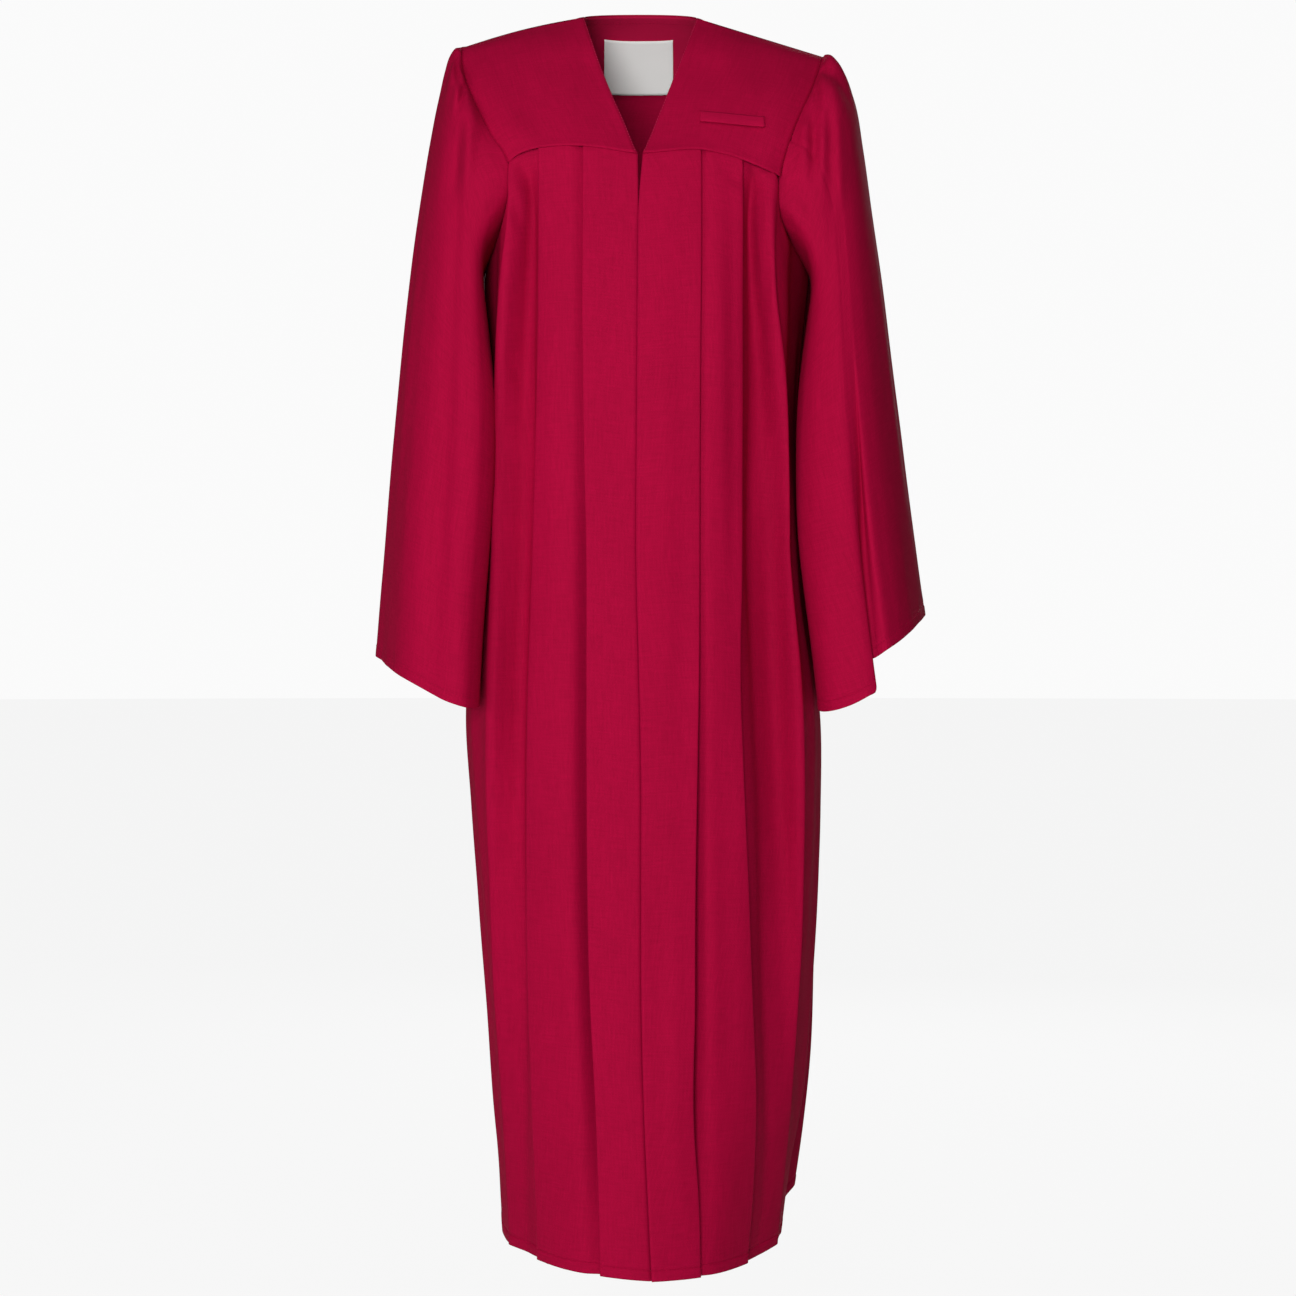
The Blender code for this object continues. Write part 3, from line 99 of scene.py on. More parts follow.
# The two pleats of a front panel and the soft folds beside them, at each height: where each
# fold lies across the front, how far its cloth is laid back and how far it opens, and where
# the cloth dips and rises again towards the side.
Pleat = namedtuple("Pleat", "height fold_a lay_a open_a fold_b lay_b open_b "
                            "valley dip ridge rise side_dip")
PLEATS = {
    RIGHT: table_of(Pleat, (
        (-0.150, 0.0545, 0.018, 0.0024, 0.0985, 0.016, 0.0016, 0.1120, 0.003, 0.1283, 0.000, 0.000),
        (-0.210, 0.0545, 0.018, 0.0040, 0.0985, 0.016, 0.0018, 0.1085, 0.013, 0.1240, 0.004, 0.001),
        (-0.300, 0.0545, 0.018, 0.0045, 0.0990, 0.015, 0.0020, 0.1110, 0.018, 0.1310, 0.005, 0.004),
        (-0.400, 0.0540, 0.017, 0.0050, 0.1000, 0.014, 0.0024, 0.1125, 0.020, 0.1325, 0.005, 0.004),
        (-0.500, 0.0510, 0.016, 0.0090, 0.1030, 0.012, 0.0026, 0.1160, 0.019, 0.1390, 0.004, 0.004),
        (-0.700, 0.0500, 0.015, 0.0130, 0.1085, 0.010, 0.0030, 0.1220, 0.018, 0.1480, 0.003, 0.004),
        (-0.860, 0.0495, 0.014, 0.0160, 0.1095, 0.010, 0.0030, 0.1230, 0.016, 0.1450, 0.003, 0.004),
        (-1.010, 0.0455, 0.013, 0.0170, 0.1080, 0.010, 0.0030, 0.1205, 0.013, 0.1390, 0.003, 0.004),
        (-1.115, 0.0400, 0.012, 0.0130, 0.1040, 0.009, 0.0030, 0.1180, 0.009, 0.1320, 0.003, 0.003),
        (-1.250, 0.0363, 0.010, 0.0050, 0.0990, 0.008, 0.0030, 0.1130, 0.005, 0.1260, 0.002, 0.002),
    )),
    LEFT: table_of(Pleat, (
        (-0.150, 0.0622, 0.018, 0.0016, 0.1031, 0.016, 0.0016, 0.1180, 0.003, 0.1405, 0.000, 0.000),
        (-0.210, 0.0622, 0.018, 0.0016, 0.1031, 0.016, 0.0018, 0.1140, 0.014, 0.1300, 0.004, 0.002),
        (-0.300, 0.0615, 0.018, 0.0018, 0.1030, 0.015, 0.0020, 0.1150, 0.019, 0.1300, 0.005, 0.005),
        (-0.400, 0.0605, 0.017, 0.0020, 0.1025, 0.014, 0.0024, 0.1180, 0.021, 0.1370, 0.006, 0.006),
        (-0.500, 0.0603, 0.016, 0.0022, 0.1025, 0.013, 0.0026, 0.1210, 0.022, 0.1410, 0.005, 0.004),
        (-0.600, 0.0600, 0.015, 0.0030, 0.1015, 0.012, 0.0028, 0.1240, 0.023, 0.1510, 0.004, 0.003),
        (-0.700, 0.0585, 0.014, 0.0080, 0.1005, 0.011, 0.0030, 0.1300, 0.023, 0.1600, 0.004, 0.003),
        (-0.850, 0.0555, 0.013, 0.0130, 0.1075, 0.011, 0.0030, 0.1330, 0.019, 0.1600, 0.004, 0.003),
        (-1.000, 0.0545, 0.012, 0.0160, 0.1130, 0.010, 0.0030, 0.1350, 0.015, 0.1560, 0.003, 0.003),
        (-1.090, 0.0530, 0.012, 0.0170, 0.1160, 0.009, 0.0030, 0.1340, 0.010, 0.1510, 0.002, 0.002),
        (-1.170, 0.0575, 0.011, 0.0090, 0.1140, 0.008, 0.0030, 0.1300, 0.006, 0.1440, 0.002, 0.002),
        (-1.250, 0.0595, 0.010, 0.0040, 0.1080, 0.008, 0.0030, 0.1220, 0.004, 0.1360, 0.002, 0.002),
    )),
}
# Height of the hem by angle round the body; the back hangs higher than the front.
Hem = namedtuple("Hem", "angle right left")
HEMS = table_of(Hem, (
    (0.0, -1.2500, -1.2500),
    (33.0, -1.2450, -1.2490),
    (47.0, -1.2415, -1.2460),
    (60.0, -1.2390, -1.2415),
    (78.0, -1.2395, -1.2410),
    (92.0, -1.2300, -1.2390),
    (108.0, -1.1850, -1.2050),
    (130.0, -1.1900, -1.2120),
    (180.0, -1.2080, -1.2080),
))
# Height of the front yoke seam by its distance from the centre.
Seam = namedtuple("Seam", "across height")
FRONT_SEAMS = {
    RIGHT: table_of(Seam, (
        (0.000, -0.1598), (0.037, -0.1535), (0.070, -0.1503), (0.096, -0.1520), (0.116, -0.1570),
        (0.1283, -0.1650),
    )),
    LEFT: table_of(Seam, (
        (0.000, -0.1598), (0.030, -0.1568), (0.0567, -0.1545), (0.087, -0.1590), (0.110, -0.1670),
        (0.1405, -0.1790),
    )),
}
# The edge of the V neck, from the neck point down to the yoke seam.
Neck = namedtuple("Neck", "across depth height")
V_EDGES = {
    RIGHT: table_of(Neck, (
        (0.0556, 0.000, 0.0000), (0.0472, -0.033, -0.0300), (0.0363, -0.055, -0.0650),
        (0.0250, -0.076, -0.0970), (0.0130, -0.093, -0.1260), (0.0010, -0.1125, -0.1598),
    )),
    LEFT: table_of(Neck, (
        (0.0597, 0.000, -0.0010), (0.0500, -0.033, -0.0310), (0.0387, -0.055, -0.0650),
        (0.0275, -0.076, -0.0970), (0.0160, -0.093, -0.1280), (0.0046, -0.1125, -0.1598),
    )),
}
# The armhole, a closed loop: over the shoulder, down the front, under the arm and up the back.
Hole = namedtuple("Hole", "across depth height")
ARMHOLES = {
    RIGHT: table_of(Hole, (
        (0.1790, 0.012, -0.0280),
        (0.1745, -0.042, -0.0690),
        (0.1490, -0.081, -0.1290),
        (0.1283, -0.093, -0.1650),
        (0.1325, -0.080, -0.2130),
        (0.1560, 0.012, -0.2560),
        (0.1500, 0.088, -0.2180),
        (0.1460, 0.106, -0.1600),
        (0.1650, 0.073, -0.0820),
    )),
    LEFT: table_of(Hole, (
        (0.1890, 0.012, -0.0380),
        (0.1755, -0.046, -0.0790),
        (0.1540, -0.083, -0.1310),
        (0.1405, -0.094, -0.1790),
        (0.1420, -0.084, -0.2190),
        (0.1740, 0.012, -0.2600),
        (0.1640, 0.088, -0.2230),
        (0.1570, 0.106, -0.1650),
        (0.1750, 0.073, -0.0890),
    )),
}
# Rows of the armhole table where seams end, and how many steps each stretch is made in.
FRONT_SEAM_END = 3
UNDERARM = 5
BACK_SEAM_END = 7
YOKE_ROWS = 8
SIDE_COLUMNS = 6
PANEL_ROWS = (0.0, 0.035, 0.09, 0.17, 0.26, 0.36, 0.46, 0.56, 0.66, 0.76, 0.86, 0.935, 1.0)
FRONT_STRETCHES = (("centre", 3), ("turn_a", 4), ("lay_a", 1), ("under_a", 4), ("out_a", 1),
                   ("second", 4), ("turn_b", 4), ("lay_b", 1), ("under_b", 4), ("out_b", 1),
                   ("valley", 2), ("ridge", 2), ("side", SIDE_COLUMNS))
# The share of its width over which the cloth between the two pleats comes forward again.
SECOND_RUN = 0.32
# The cloth, the steps of its points, its folded hem and the row of stitches that holds it,
# the puckers beside them, and how the cloth is tucked at a seam and eased at the sides.
CLOTH_THICKNESS = 0.0007
CLOTH_STEP = 0.0050
DOWN_STEP = 0.0070
HEM_MARKS = (0.0150, 0.0125, 0.0112, 0.0104, 0.0098, 0.0090, 0.0070, 0.0040, 0.0015, 0.0)
HEM_CLEAR = 0.004
HEM_STITCH = 0.0101
HEM_STAND = 0.0004
HEM_STAND_RUN = 0.001
HEM_GROOVE = 0.0007
GROOVE_WIDTH = 0.0009
PUCKER = 0.0005
PUCKER_WIDTH = 0.0100
PUCKER_SCALE = (90.0, 30.0)
PUCKER_DRAW = 3.7
SEAM_TUCK = 0.0004
SEAM_TUCK_RUN = 0.0035
SIDE_EASE = 0.0008
SIDE_EASE_FACING = (0.7, 0.95)
# Where the right front is carried on under the left one, and the roll of its edge.
UNDERLAP = 0.0070
UNDERLAP_DEPTH = 0.0030
EDGE_ROLL = 0.0016
EDGE_ROLL_SHARE = 0.35
EDGE_LIP = 0.0006
SLIT_END = 0.205
LAP_GROWTH = 0.030
ALLOWANCE = 0.0032
ALLOWANCE_DEPTH = 0.0009
# A slow uneven sway of all the cloth.
SWAY = 0.0012
SWAY_ACROSS = 26.0
SWAY_DOWN = 7.0
# Creases begin this far below a seam, show on cloth that faces their way by these shares, fade
# to this share of their height at both ends and are nothing beyond so many widths.
SETTLE = 0.012
CREASE_FACING = (0.05, 0.55)
CREASE_END = 0.08
CREASE_REACH = 3.0
TINY = 0.000001

# Soft creases: the side they show on, where they start and end, how wide they
# are and how far they stand out (a trough is negative). A side crease is placed by its depth.
Crease = namedtuple("Crease", "face a1 z1 a2 z2 width height")


def creases_on(face, rows):
    """Creases of one face, each row its start, its end, its width and its height."""
    return [Crease(face, *row) for row in rows]


FACES = {"front": (0, Vector((0.0, -1.0, 0.0))), "back": (0, Vector((0.0, 1.0, 0.0))),
         "right": (1, Vector((-1.0, 0.0, 0.0))), "left": (1, Vector((1.0, 0.0, 0.0)))}
FRONT_CREASES = (
    *creases_on("front", (
        (-0.124, -0.172, -0.098, -0.196, 0.007, -0.003),
        (-0.13, -0.19, -0.113, -0.232, 0.006, -0.003),
        (-0.112, -0.178, -0.119, -0.3, 0.006, 0.0016),
        (-0.124, -0.352, -0.111, -0.386, 0.004, -0.0024),
        (-0.124, -0.17, -0.133, -0.42, 0.009, 0.008),
        (-0.131, -0.26, -0.146, -0.74, 0.01, 0.0085),
        (-0.143, -0.5, -0.15, -1.06, 0.012, 0.0085),
        (-0.104, -0.16, -0.109, -0.43, 0.007, -0.006),
        (-0.11, -0.34, -0.12, -0.86, 0.008, -0.007),
        (-0.068, -0.16, -0.07, -0.42, 0.006, -0.0012),
        (-0.086, -0.17, -0.084, -0.7, 0.008, 0.0014),
        (-0.024, -0.18, -0.03, -0.62, 0.014, -0.0014),
        (-0.012, -0.42, -0.026, -0.98, 0.011, 0.001),
        (-0.038, -0.76, -0.03, -1.2, 0.012, -0.0014),
        (-0.126, -0.54, -0.132, -0.86, 0.01, -0.0022),
        (-0.112, -0.9, -0.106, -1.2, 0.01, 0.0016),
        (-0.084, -0.88, -0.076, -1.22, 0.01, -0.0016),
        (0.086, -0.178, 0.115, -0.19, 0.006, -0.0034),
        (0.11, -0.182, 0.132, -0.2, 0.005, -0.003),
        (0.124, -0.2, 0.115, -0.3, 0.007, 0.002),
        (0.13, -0.212, 0.124, -0.33, 0.006, -0.0024),
        (0.08, -0.17, 0.082, -0.56, 0.007, 0.0016),
        (0.093, -0.2, 0.092, -0.64, 0.006, -0.0014),
        (0.024, -0.19, 0.03, -0.7, 0.013, 0.0012),
        (0.042, -0.26, 0.044, -0.9, 0.011, -0.0012),
        (0.018, -0.8, 0.026, -1.22, 0.011, -0.0012),
        (0.038, -0.84, 0.034, -1.18, 0.01, 0.0014),
        (0.082, -0.72, 0.09, -1.16, 0.01, -0.0018),
        (0.111, -0.18, 0.116, -0.46, 0.009, -0.008),
        (0.118, -0.36, 0.136, -0.82, 0.013, -0.01),
        (0.134, -0.52, 0.144, -1.08, 0.014, -0.011),
        (0.128, -0.18, 0.135, -0.43, 0.008, 0.0055),
        (0.138, -0.32, 0.16, -0.72, 0.009, 0.0075),
        (0.16, -0.56, 0.165, -1.04, 0.01, 0.0065),
        (-0.124, -0.16, -0.108, -0.176, 0.006, -0.004),
        (0.096, -0.158, 0.124, -0.172, 0.006, -0.004),
    )),
    *creases_on("right", (
        (-0.074, -0.19, -0.074, -0.52, 0.018, 0.0045),
        (0.0, -0.32, 0.006, -0.76, 0.012, -0.003),
        (-0.042, -0.42, -0.05, -0.98, 0.012, 0.0026),
        (-0.016, -0.82, -0.012, -1.2, 0.014, 0.0028),
    )),
    *creases_on("left", (
        (-0.078, -0.19, -0.076, -0.52, 0.018, 0.007),
        (0.002, -0.34, 0.008, -0.72, 0.012, -0.0028),
        (-0.04, -0.38, -0.052, -0.94, 0.012, 0.0026),
        (-0.018, -0.8, -0.01, -1.19, 0.014, 0.003),
    )),
)


def read_row(table, key):
    """A smooth value of every column of a table at a place between its rows."""
    keys = [row[0] for row in table]
    rising = keys[-1] > keys[0]
    last = len(table) - 1
    if (key <= keys[0]) == rising:
        return table[0]
    if (key >= keys[last]) == rising:
        return table[last]
    low = 0
    while (keys[low + 1] < key) == rising and keys[low + 1] != key:
        low += 1
    return blend_rows(table, keys, low, (key - keys[low]) / (keys[low + 1] - keys[low]))


def blend_rows(table, keys, low, share):
    last = len(table) - 1
    high = low + 1
    span = keys[high] - keys[low]
    values = []
    for column in range(len(table[0])):
        start = table[low][column]
        end = table[high][column]
        before = max(low - 1, 0)
        after = min(high + 1, last)
        slope_in = (end - table[before][column]) / (keys[high] - keys[before]) * span
        slope_out = (table[after][column] - start) / (keys[after] - keys[low]) * span
        values.append(hermite(start, end, slope_in, slope_out, share))
    return type(table[0])(*values)


def hermite(start, end, slope_in, slope_out, share):
    square = share * share
    cube = square * share
    return (start * (2 * cube - 3 * square + 1) + slope_in * (cube - 2 * square + share)
            + end * (3 * square - 2 * cube) + slope_out * (cube - square))


def smooth_step(start, end, value):
    share = min(max((value - start) / (end - start), 0.0), 1.0)
    return share * share * (3.0 - 2.0 * share)


def half_width(side, girth):
    return girth.left if side == LEFT else girth.right


def outline(side, degrees, height):
    """The body's plain plan outline, by angle from the centre front."""
    girth = read_row(GIRTHS, height)
    angle = math.radians(degrees)
    power = 2.0 / girth.square
    across = half_width(side, girth) * abs(math.sin(angle)) ** power
    facing = math.cos(angle)
    reach = SIDE_DEPTH - girth.front if facing > 0 else girth.back - SIDE_DEPTH
    return Vector((across, SIDE_DEPTH - math.copysign(reach * abs(facing) ** power, facing)))


def out_of_outline(side, degrees, height):
    """The direction out of the body's plain outline."""
    step = 0.5
    ahead = outline(side, min(degrees + step, 180.0), height)
    behind = outline(side, max(degrees - step, 0.0), height)
    along = (ahead - behind).normalized()
    return Vector((along.y, -along.x))


def front_angle(side, across, height):
    girth = read_row(GIRTHS, height)
    share = min(abs(across) / half_width(side, girth), 1.0)
    return math.degrees(math.asin(share ** (girth.square / 2.0)))


def plan_point(side, across, depth, height):
    """A point at a distance across and a depth behind the body's plain outline."""
    angle = front_angle(side, across, height)
    outward = out_of_outline(side, angle, height)
    point = outline(side, angle, height) - outward * depth
    if across < 0:
        point.x = across
    return point


def fold_marks(name, fold, lay, opened, shares):
    """Across and depth of one stretch of a pleat: its edge, its laid layer or its inner turn."""
    kind = name[:-2]
    if kind == "turn":
        return [(fold - TURN + TURN * math.sin(math.pi * share),
                 TURN - TURN * math.cos(math.pi * share)) for share in shares]
    if kind == "lay":
        return [(fold - TURN - lay * share, 2.0 * TURN) for share in shares]
    bend = opened / 2.0
    if kind == "under":
        return [(fold - TURN - lay - bend * math.sin(math.pi * share),
                 2.0 * TURN + bend - bend * math.cos(math.pi * share)) for share in shares]
    return [(fold - TURN - lay + (lay + TURN) * share, 2.0 * TURN + opened) for share in shares]


def front_plan(side, height):
    """Points of a front panel's plan at a height, and the names of their stretches."""
    pleat = read_row(PLEATS[side], height)
    centre = read_row(CENTRES, height)
    lap = max(centre.lap, 0.0) if side == LEFT else 0.0
    slit = max(centre.slit, SEAM_GAP)
    edge = centre.shift + slit if side == LEFT else -centre.shift
    ridge_angle = front_angle(side, pleat.ridge, height)
    folds = {"a": (pleat.fold_a, pleat.lay_a, pleat.open_a),
             "b": (pleat.fold_b, pleat.lay_b, pleat.open_b)}
    behind_a = 2.0 * TURN + pleat.open_a
    behind_b = 2.0 * TURN + pleat.open_b
    spans = {"centre": (edge, pleat.fold_a - TURN, -lap, -lap),
             "second": (pleat.fold_a, pleat.fold_b - TURN, behind_a - lap, 0.0),
             "valley": (pleat.fold_b, pleat.valley, behind_b, pleat.dip),
             "ridge": (pleat.valley, pleat.ridge, pleat.dip, -pleat.rise)}
    points = []
    names = []
    for name, count in FRONT_STRETCHES:
        shares = [(step + 1) / count for step in range(count)]
        if not points:
            shares = [0.0] + shares
        if name in spans:
            start, end, deep, shallow = spans[name]
            reach = SECOND_RUN if name == "second" else 1.0
            marks = [(start + (end - start) * share,
                      deep + (shallow - deep) * smooth_step(0.0, reach, share)) for share in shares]
        elif name != "side":
            marks = fold_marks(name, *folds[name[-1]], shares)
            if name[-1] == "a":
                marks = [(across, depth - lap) for across, depth in marks]
        if name != "side":
            points.extend(plan_point(side, across, depth, height) for across, depth in marks)
        else:
            for share in shares:
                angle = ridge_angle + (90.0 - ridge_angle) * (1.0 - math.cos(share * math.pi / 2.0))
                outward = out_of_outline(side, angle, height)
                soft = pleat.rise * (1.0 - share) ** 2 - pleat.side_dip * math.sin(math.pi * share)
                points.append(outline(side, angle, height) + outward * soft)
        names.extend([name] * len(shares))
    return points, names


def armhole_point(side, place):
    """A point of the armhole loop; whole numbers are the rows of its table."""
    rows = ARMHOLES[side]
    count = len(rows)
    low = int(math.floor(place))
    share = place - low
    near = [Vector(rows[(low + step) % count]) for step in (-1, 0, 1, 2)]
    across = hermite(near[1], near[2], (near[2] - near[0]) / 2.0, (near[3] - near[1]) / 2.0, share)
    return Vector((side * across.x, across.y, across.z))


def front_seam_height(side, across):
    return read_row(FRONT_SEAMS[side], abs(across)).height


def yoke_stations(side):
    """Distances across at which a front yoke and its panel share the points of their seam."""
    plan, names = front_plan(side, FRONT_SEAMS[side][0].height)
    seen = ("centre", "second", "valley", "ridge")
    across = [point.x for point, name in zip(plan, names) if name in seen]
    across[0] = V_EDGES[side][-1].across
    across[-1] = abs(armhole_point(side, FRONT_SEAM_END).x)
    return across


def straight_seam_height(side, across, stations):
    """The seam's height on the straight stretches between its shared points."""
    low = 0
    while low < len(stations) - 2 and stations[low + 1] < across:
        low += 1
    start = stations[low]
    end = stations[low + 1]
    share = min(max((across - start) / (end - start), 0.0), 1.0)
    near = front_seam_height(side, start)
    return near + (front_seam_height(side, end) - near) * share


def seam_end_shift(side, end, angle, across):
    """How far the seam leaves the plain outline so that it meets the armhole."""
    base = outline(side, angle, end.z)
    reach = Vector((abs(end.x), end.y)) - base
    return reach * smooth_step(SEAM_SHIFT_START, 1.0, abs(across) / abs(end.x))


def hem_height(side, degrees):
    row = read_row(HEMS, degrees)
    return row.left if side == LEFT else row.right


def left_to_right(side, rows):
    """Rows that start at the middle, turned round on the left so that all run the same way."""
    return [row[::-1] for row in rows] if side == LEFT else rows


def front_panel_points(side):
    """Rows of points of a front panel, from its top edge to its hem."""
    middle_height = FRONT_SEAMS[side][0].height
    top_plan, names = front_plan(side, middle_height)
    seam_end = armhole_point(side, FRONT_SEAM_END)
    end_angle = front_angle(side, seam_end.x, seam_end.z)
    first_side = names.index("side")
    stations = yoke_stations(side)
    columns = []
    for column, name in enumerate(names):
        across = top_plan[column].x
        if name == "side":
            share = (column - first_side + 1) / SIDE_COLUMNS
            top = armhole_point(side, FRONT_SEAM_END + (UNDERARM - FRONT_SEAM_END) * share)
            shift = Vector((abs(top.x), top.y)) - front_plan(side, top.z)[0][column]
            top_height = top.z
            hem_angle = HEM_CORNER + (90.0 - HEM_CORNER) * share
        else:
            top_height = straight_seam_height(side, across, stations)
            if column == first_side - 1:
                top_height = seam_end.z
            shift = seam_end_shift(side, seam_end, end_angle, across)
            hem_angle = HEM_CORNER * min(max(across, 0.0) / abs(seam_end.x), 1.0)
        columns.append((column, top_height, hem_height(side, hem_angle), shift))
    rows = []
    for part in PANEL_ROWS:
        row = []
        for column, top_height, low, shift in columns:
            height = top_height + (low - top_height) * part
            flat = front_plan(side, height)[0][column]
            flat = flat + shift * (1.0 - smooth_step(top_height, top_height - SEAM_FADE, height))
            row.append(Vector((side * flat.x, flat.y, height)))
        rows.append(row)
    for column, name in enumerate(names):
        if name != "side":
            rows[0][column].z -= TOP_GAP
    gap = SEAM_GAP / 2.0
    for row in rows:
        row[-1].y = row[-1].y - gap
    return left_to_right(side, rows)


def share_steps(length, step):
    """Shares of a stretch that is cut into even steps no longer than one step."""
    count = max(2, math.ceil(length / step))
    return [(number + 1) / count for number in range(count)]


def smooth_line(points, steps, closed):
    """A smooth line through points, with the given shares along each stretch."""
    last = len(points) - 1
    spans = [max((points[low + 1] - points[low]).length, TINY) for low in range(last)]
    ways = []
    for index in range(last + 1):
        if 0 < index < last or closed:
            low, high = (index - 1) % last, index % last
            before = (points[index] - points[index - 1 if index else last - 1]) / spans[low]
            after = (points[index + 1 if index < last else 1] - points[index]) / spans[high]
            way = (before * spans[high] + after * spans[low]) / (spans[low] + spans[high])
        elif index == 0:
            way = (points[1] - points[0]) / spans[0]
        else:
            way = (points[last] - points[last - 1]) / spans[last - 1]
        ways.append(way)
    line = [points[0].copy()]
    for low, shares in enumerate(steps):
        span = spans[low]
        leave = ways[low] * min(span, 2.0 * spans[low - 1])
        arrive = ways[low + 1] * min(span, 2.0 * spans[(low + 1) % last])
        line.extend(hermite(points[low], points[low + 1], leave, arrive, share) for share in shares)
    return line


def finer_rows(rows, hem=True, closed=False, across_step=CLOTH_STEP, down_step=DOWN_STEP):
    """The rows of a piece worked out more finely, with extra rows for the folded hem."""
    pairs = range(len(rows[0]) - 1)
    widths = [max((row[at + 1] - row[at]).length for row in rows) for at in pairs]
    across = [share_steps(width, across_step) for width in widths]
    down = []
    for upper, lower in zip(rows, rows[1:]):
        length = max((low - high).length for high, low in zip(upper, lower))
        down.append(share_steps(length, down_step))
    if hem:
        plain = [share for share in down[-1] if (1.0 - share) * length > HEM_MARKS[0] + HEM_CLEAR]
        down[-1] = plain + [1.0 - mark / length for mark in HEM_MARKS if mark < length]
    wide = [smooth_line(row, across, closed) for row in rows]
    columns = [smooth_line(list(column), down, False) for column in zip(*wide)]
    return [list(row) for row in zip(*columns)]


def crease_at(creases, point, out):
    """Where the creases and a slow sway move the cloth at a point."""
    place = Vector((point.x * SWAY_ACROSS, point.y * SWAY_ACROSS, point.z * SWAY_DOWN))
    total = out * (SWAY * noise.noise(place))
    for crease in creases:
        axis, way = FACES[crease.face]
        facing = smooth_step(*CREASE_FACING, out.dot(way))
        if facing > 0.0:
            run_a = crease.a2 - crease.a1
            run_z = crease.z2 - crease.z1
            from_a = point[axis] - crease.a1
            from_z = point.z - crease.z1
            share = (from_a * run_a + from_z * run_z) / (run_a * run_a + run_z * run_z)
            share = min(max(share, 0.0), 1.0)
            gap = math.hypot(from_a - run_a * share, from_z - run_z * share) / crease.width
            if gap < CREASE_REACH:
                fade = math.sin(math.pi * (CREASE_END + (1.0 - 2.0 * CREASE_END) * share))
                total += way * (facing * crease.height * fade * math.exp(-gap * gap))
    return total


def out_of_body(point):
    return Vector((point.x, point.y - SIDE_DEPTH, 0.0)).normalized()


def hem_offset(drop, along):
    """The doubled cloth of a hem, the groove of its stitches and the puckers beside it."""
    stand = HEM_STAND * (1.0 - smooth_step(HEM_STITCH - HEM_STAND_RUN, HEM_STITCH, drop))
    groove = HEM_GROOVE * math.exp(-((drop - HEM_STITCH) / GROOVE_WIDTH) ** 2)
    near = math.exp(-((drop - HEM_STITCH) / PUCKER_WIDTH) ** 2)
    ripple = noise.noise(Vector((along * PUCKER_SCALE[0], drop * PUCKER_SCALE[1], PUCKER_DRAW)))
    return stand - groove + PUCKER * near * ripple


def dressed_rows(rows, creases, out_at):
    """Rows of cloth with its creases, its hem and the tuck under the seam at its top."""
    result = []
    for row in rows:
        line = []
        for column, point in enumerate(row):
            out = out_at(point)
            top = rows[0][column]
            low = rows[-1][column]
            from_top = top.z - point.z
            settle = smooth_step(0.0, SETTLE, from_top)
            shift = crease_at(creases, point, out) * settle
            move = -SEAM_TUCK * (1.0 - smooth_step(0.0, SEAM_TUCK_RUN, from_top))
            move += SIDE_EASE * settle * smooth_step(*SIDE_EASE_FACING, abs(out.x))
            move += hem_offset(point.z - low.z, point.x - point.y)
            line.append(point + shift + out * move)
        result.append(line)
    return result


def side_allowances(rows, out_at):
    """Rows with one more column at each end, the allowance that lies behind the side seam."""
    result = []
    for row in rows:
        ends = [edge + (edge - inner).normalized() * ALLOWANCE - out_at(edge) * ALLOWANCE_DEPTH
                for edge, inner in ((row[0], row[1]), (row[-1], row[-2]))]
        result.append([ends[0]] + row + [ends[1]])
    return result


def tucked_under(rows, out_at):
    """Rows with one more above them, where the seam allowance goes in under its neighbour."""
    first = [top + (top - low).normalized() * ALLOWANCE - out_at(top) * ALLOWANCE_DEPTH
             for top, low in zip(rows[0], rows[1])]
    return [first] + rows


def lapped_edge(rows):
    """Rows of the right front with its edge carried on under the left one, below the slit."""
    result = []
    for row in rows:
        lap = smooth_step(SLIT_END, SLIT_END + LAP_GROWTH, -row[0].z)
        width = EDGE_LIP + UNDERLAP * lap
        edge = row[0] + Vector((0.0, EDGE_ROLL * lap, 0.0))
        steps = [edge + Vector((width * share, UNDERLAP_DEPTH * min(2.0 * share, 1.0), 0.0))
                 for share in (1.0, 0.5)]
        result.append(steps + [edge, row[0].lerp(row[1], EDGE_ROLL_SHARE)] + row[1:])
    return result


def lengths_along(line):
    """The distance of each point of a line from its start."""
    run = [0.0]
    for start, end in zip(line, line[1:]):
        run.append(run[-1] + (end - start).length)
    return run


def new_object(name, mesh, material):
    """An object at the origin made from a finished mesh."""
    data = bpy.data.meshes.new(name)
    mesh.to_mesh(data)
    mesh.free()
    data.materials.append(material)
    data.shade_smooth()
    piece = bpy.data.objects.new(name, data)
    bpy.context.scene.collection.objects.link(piece)
    return piece


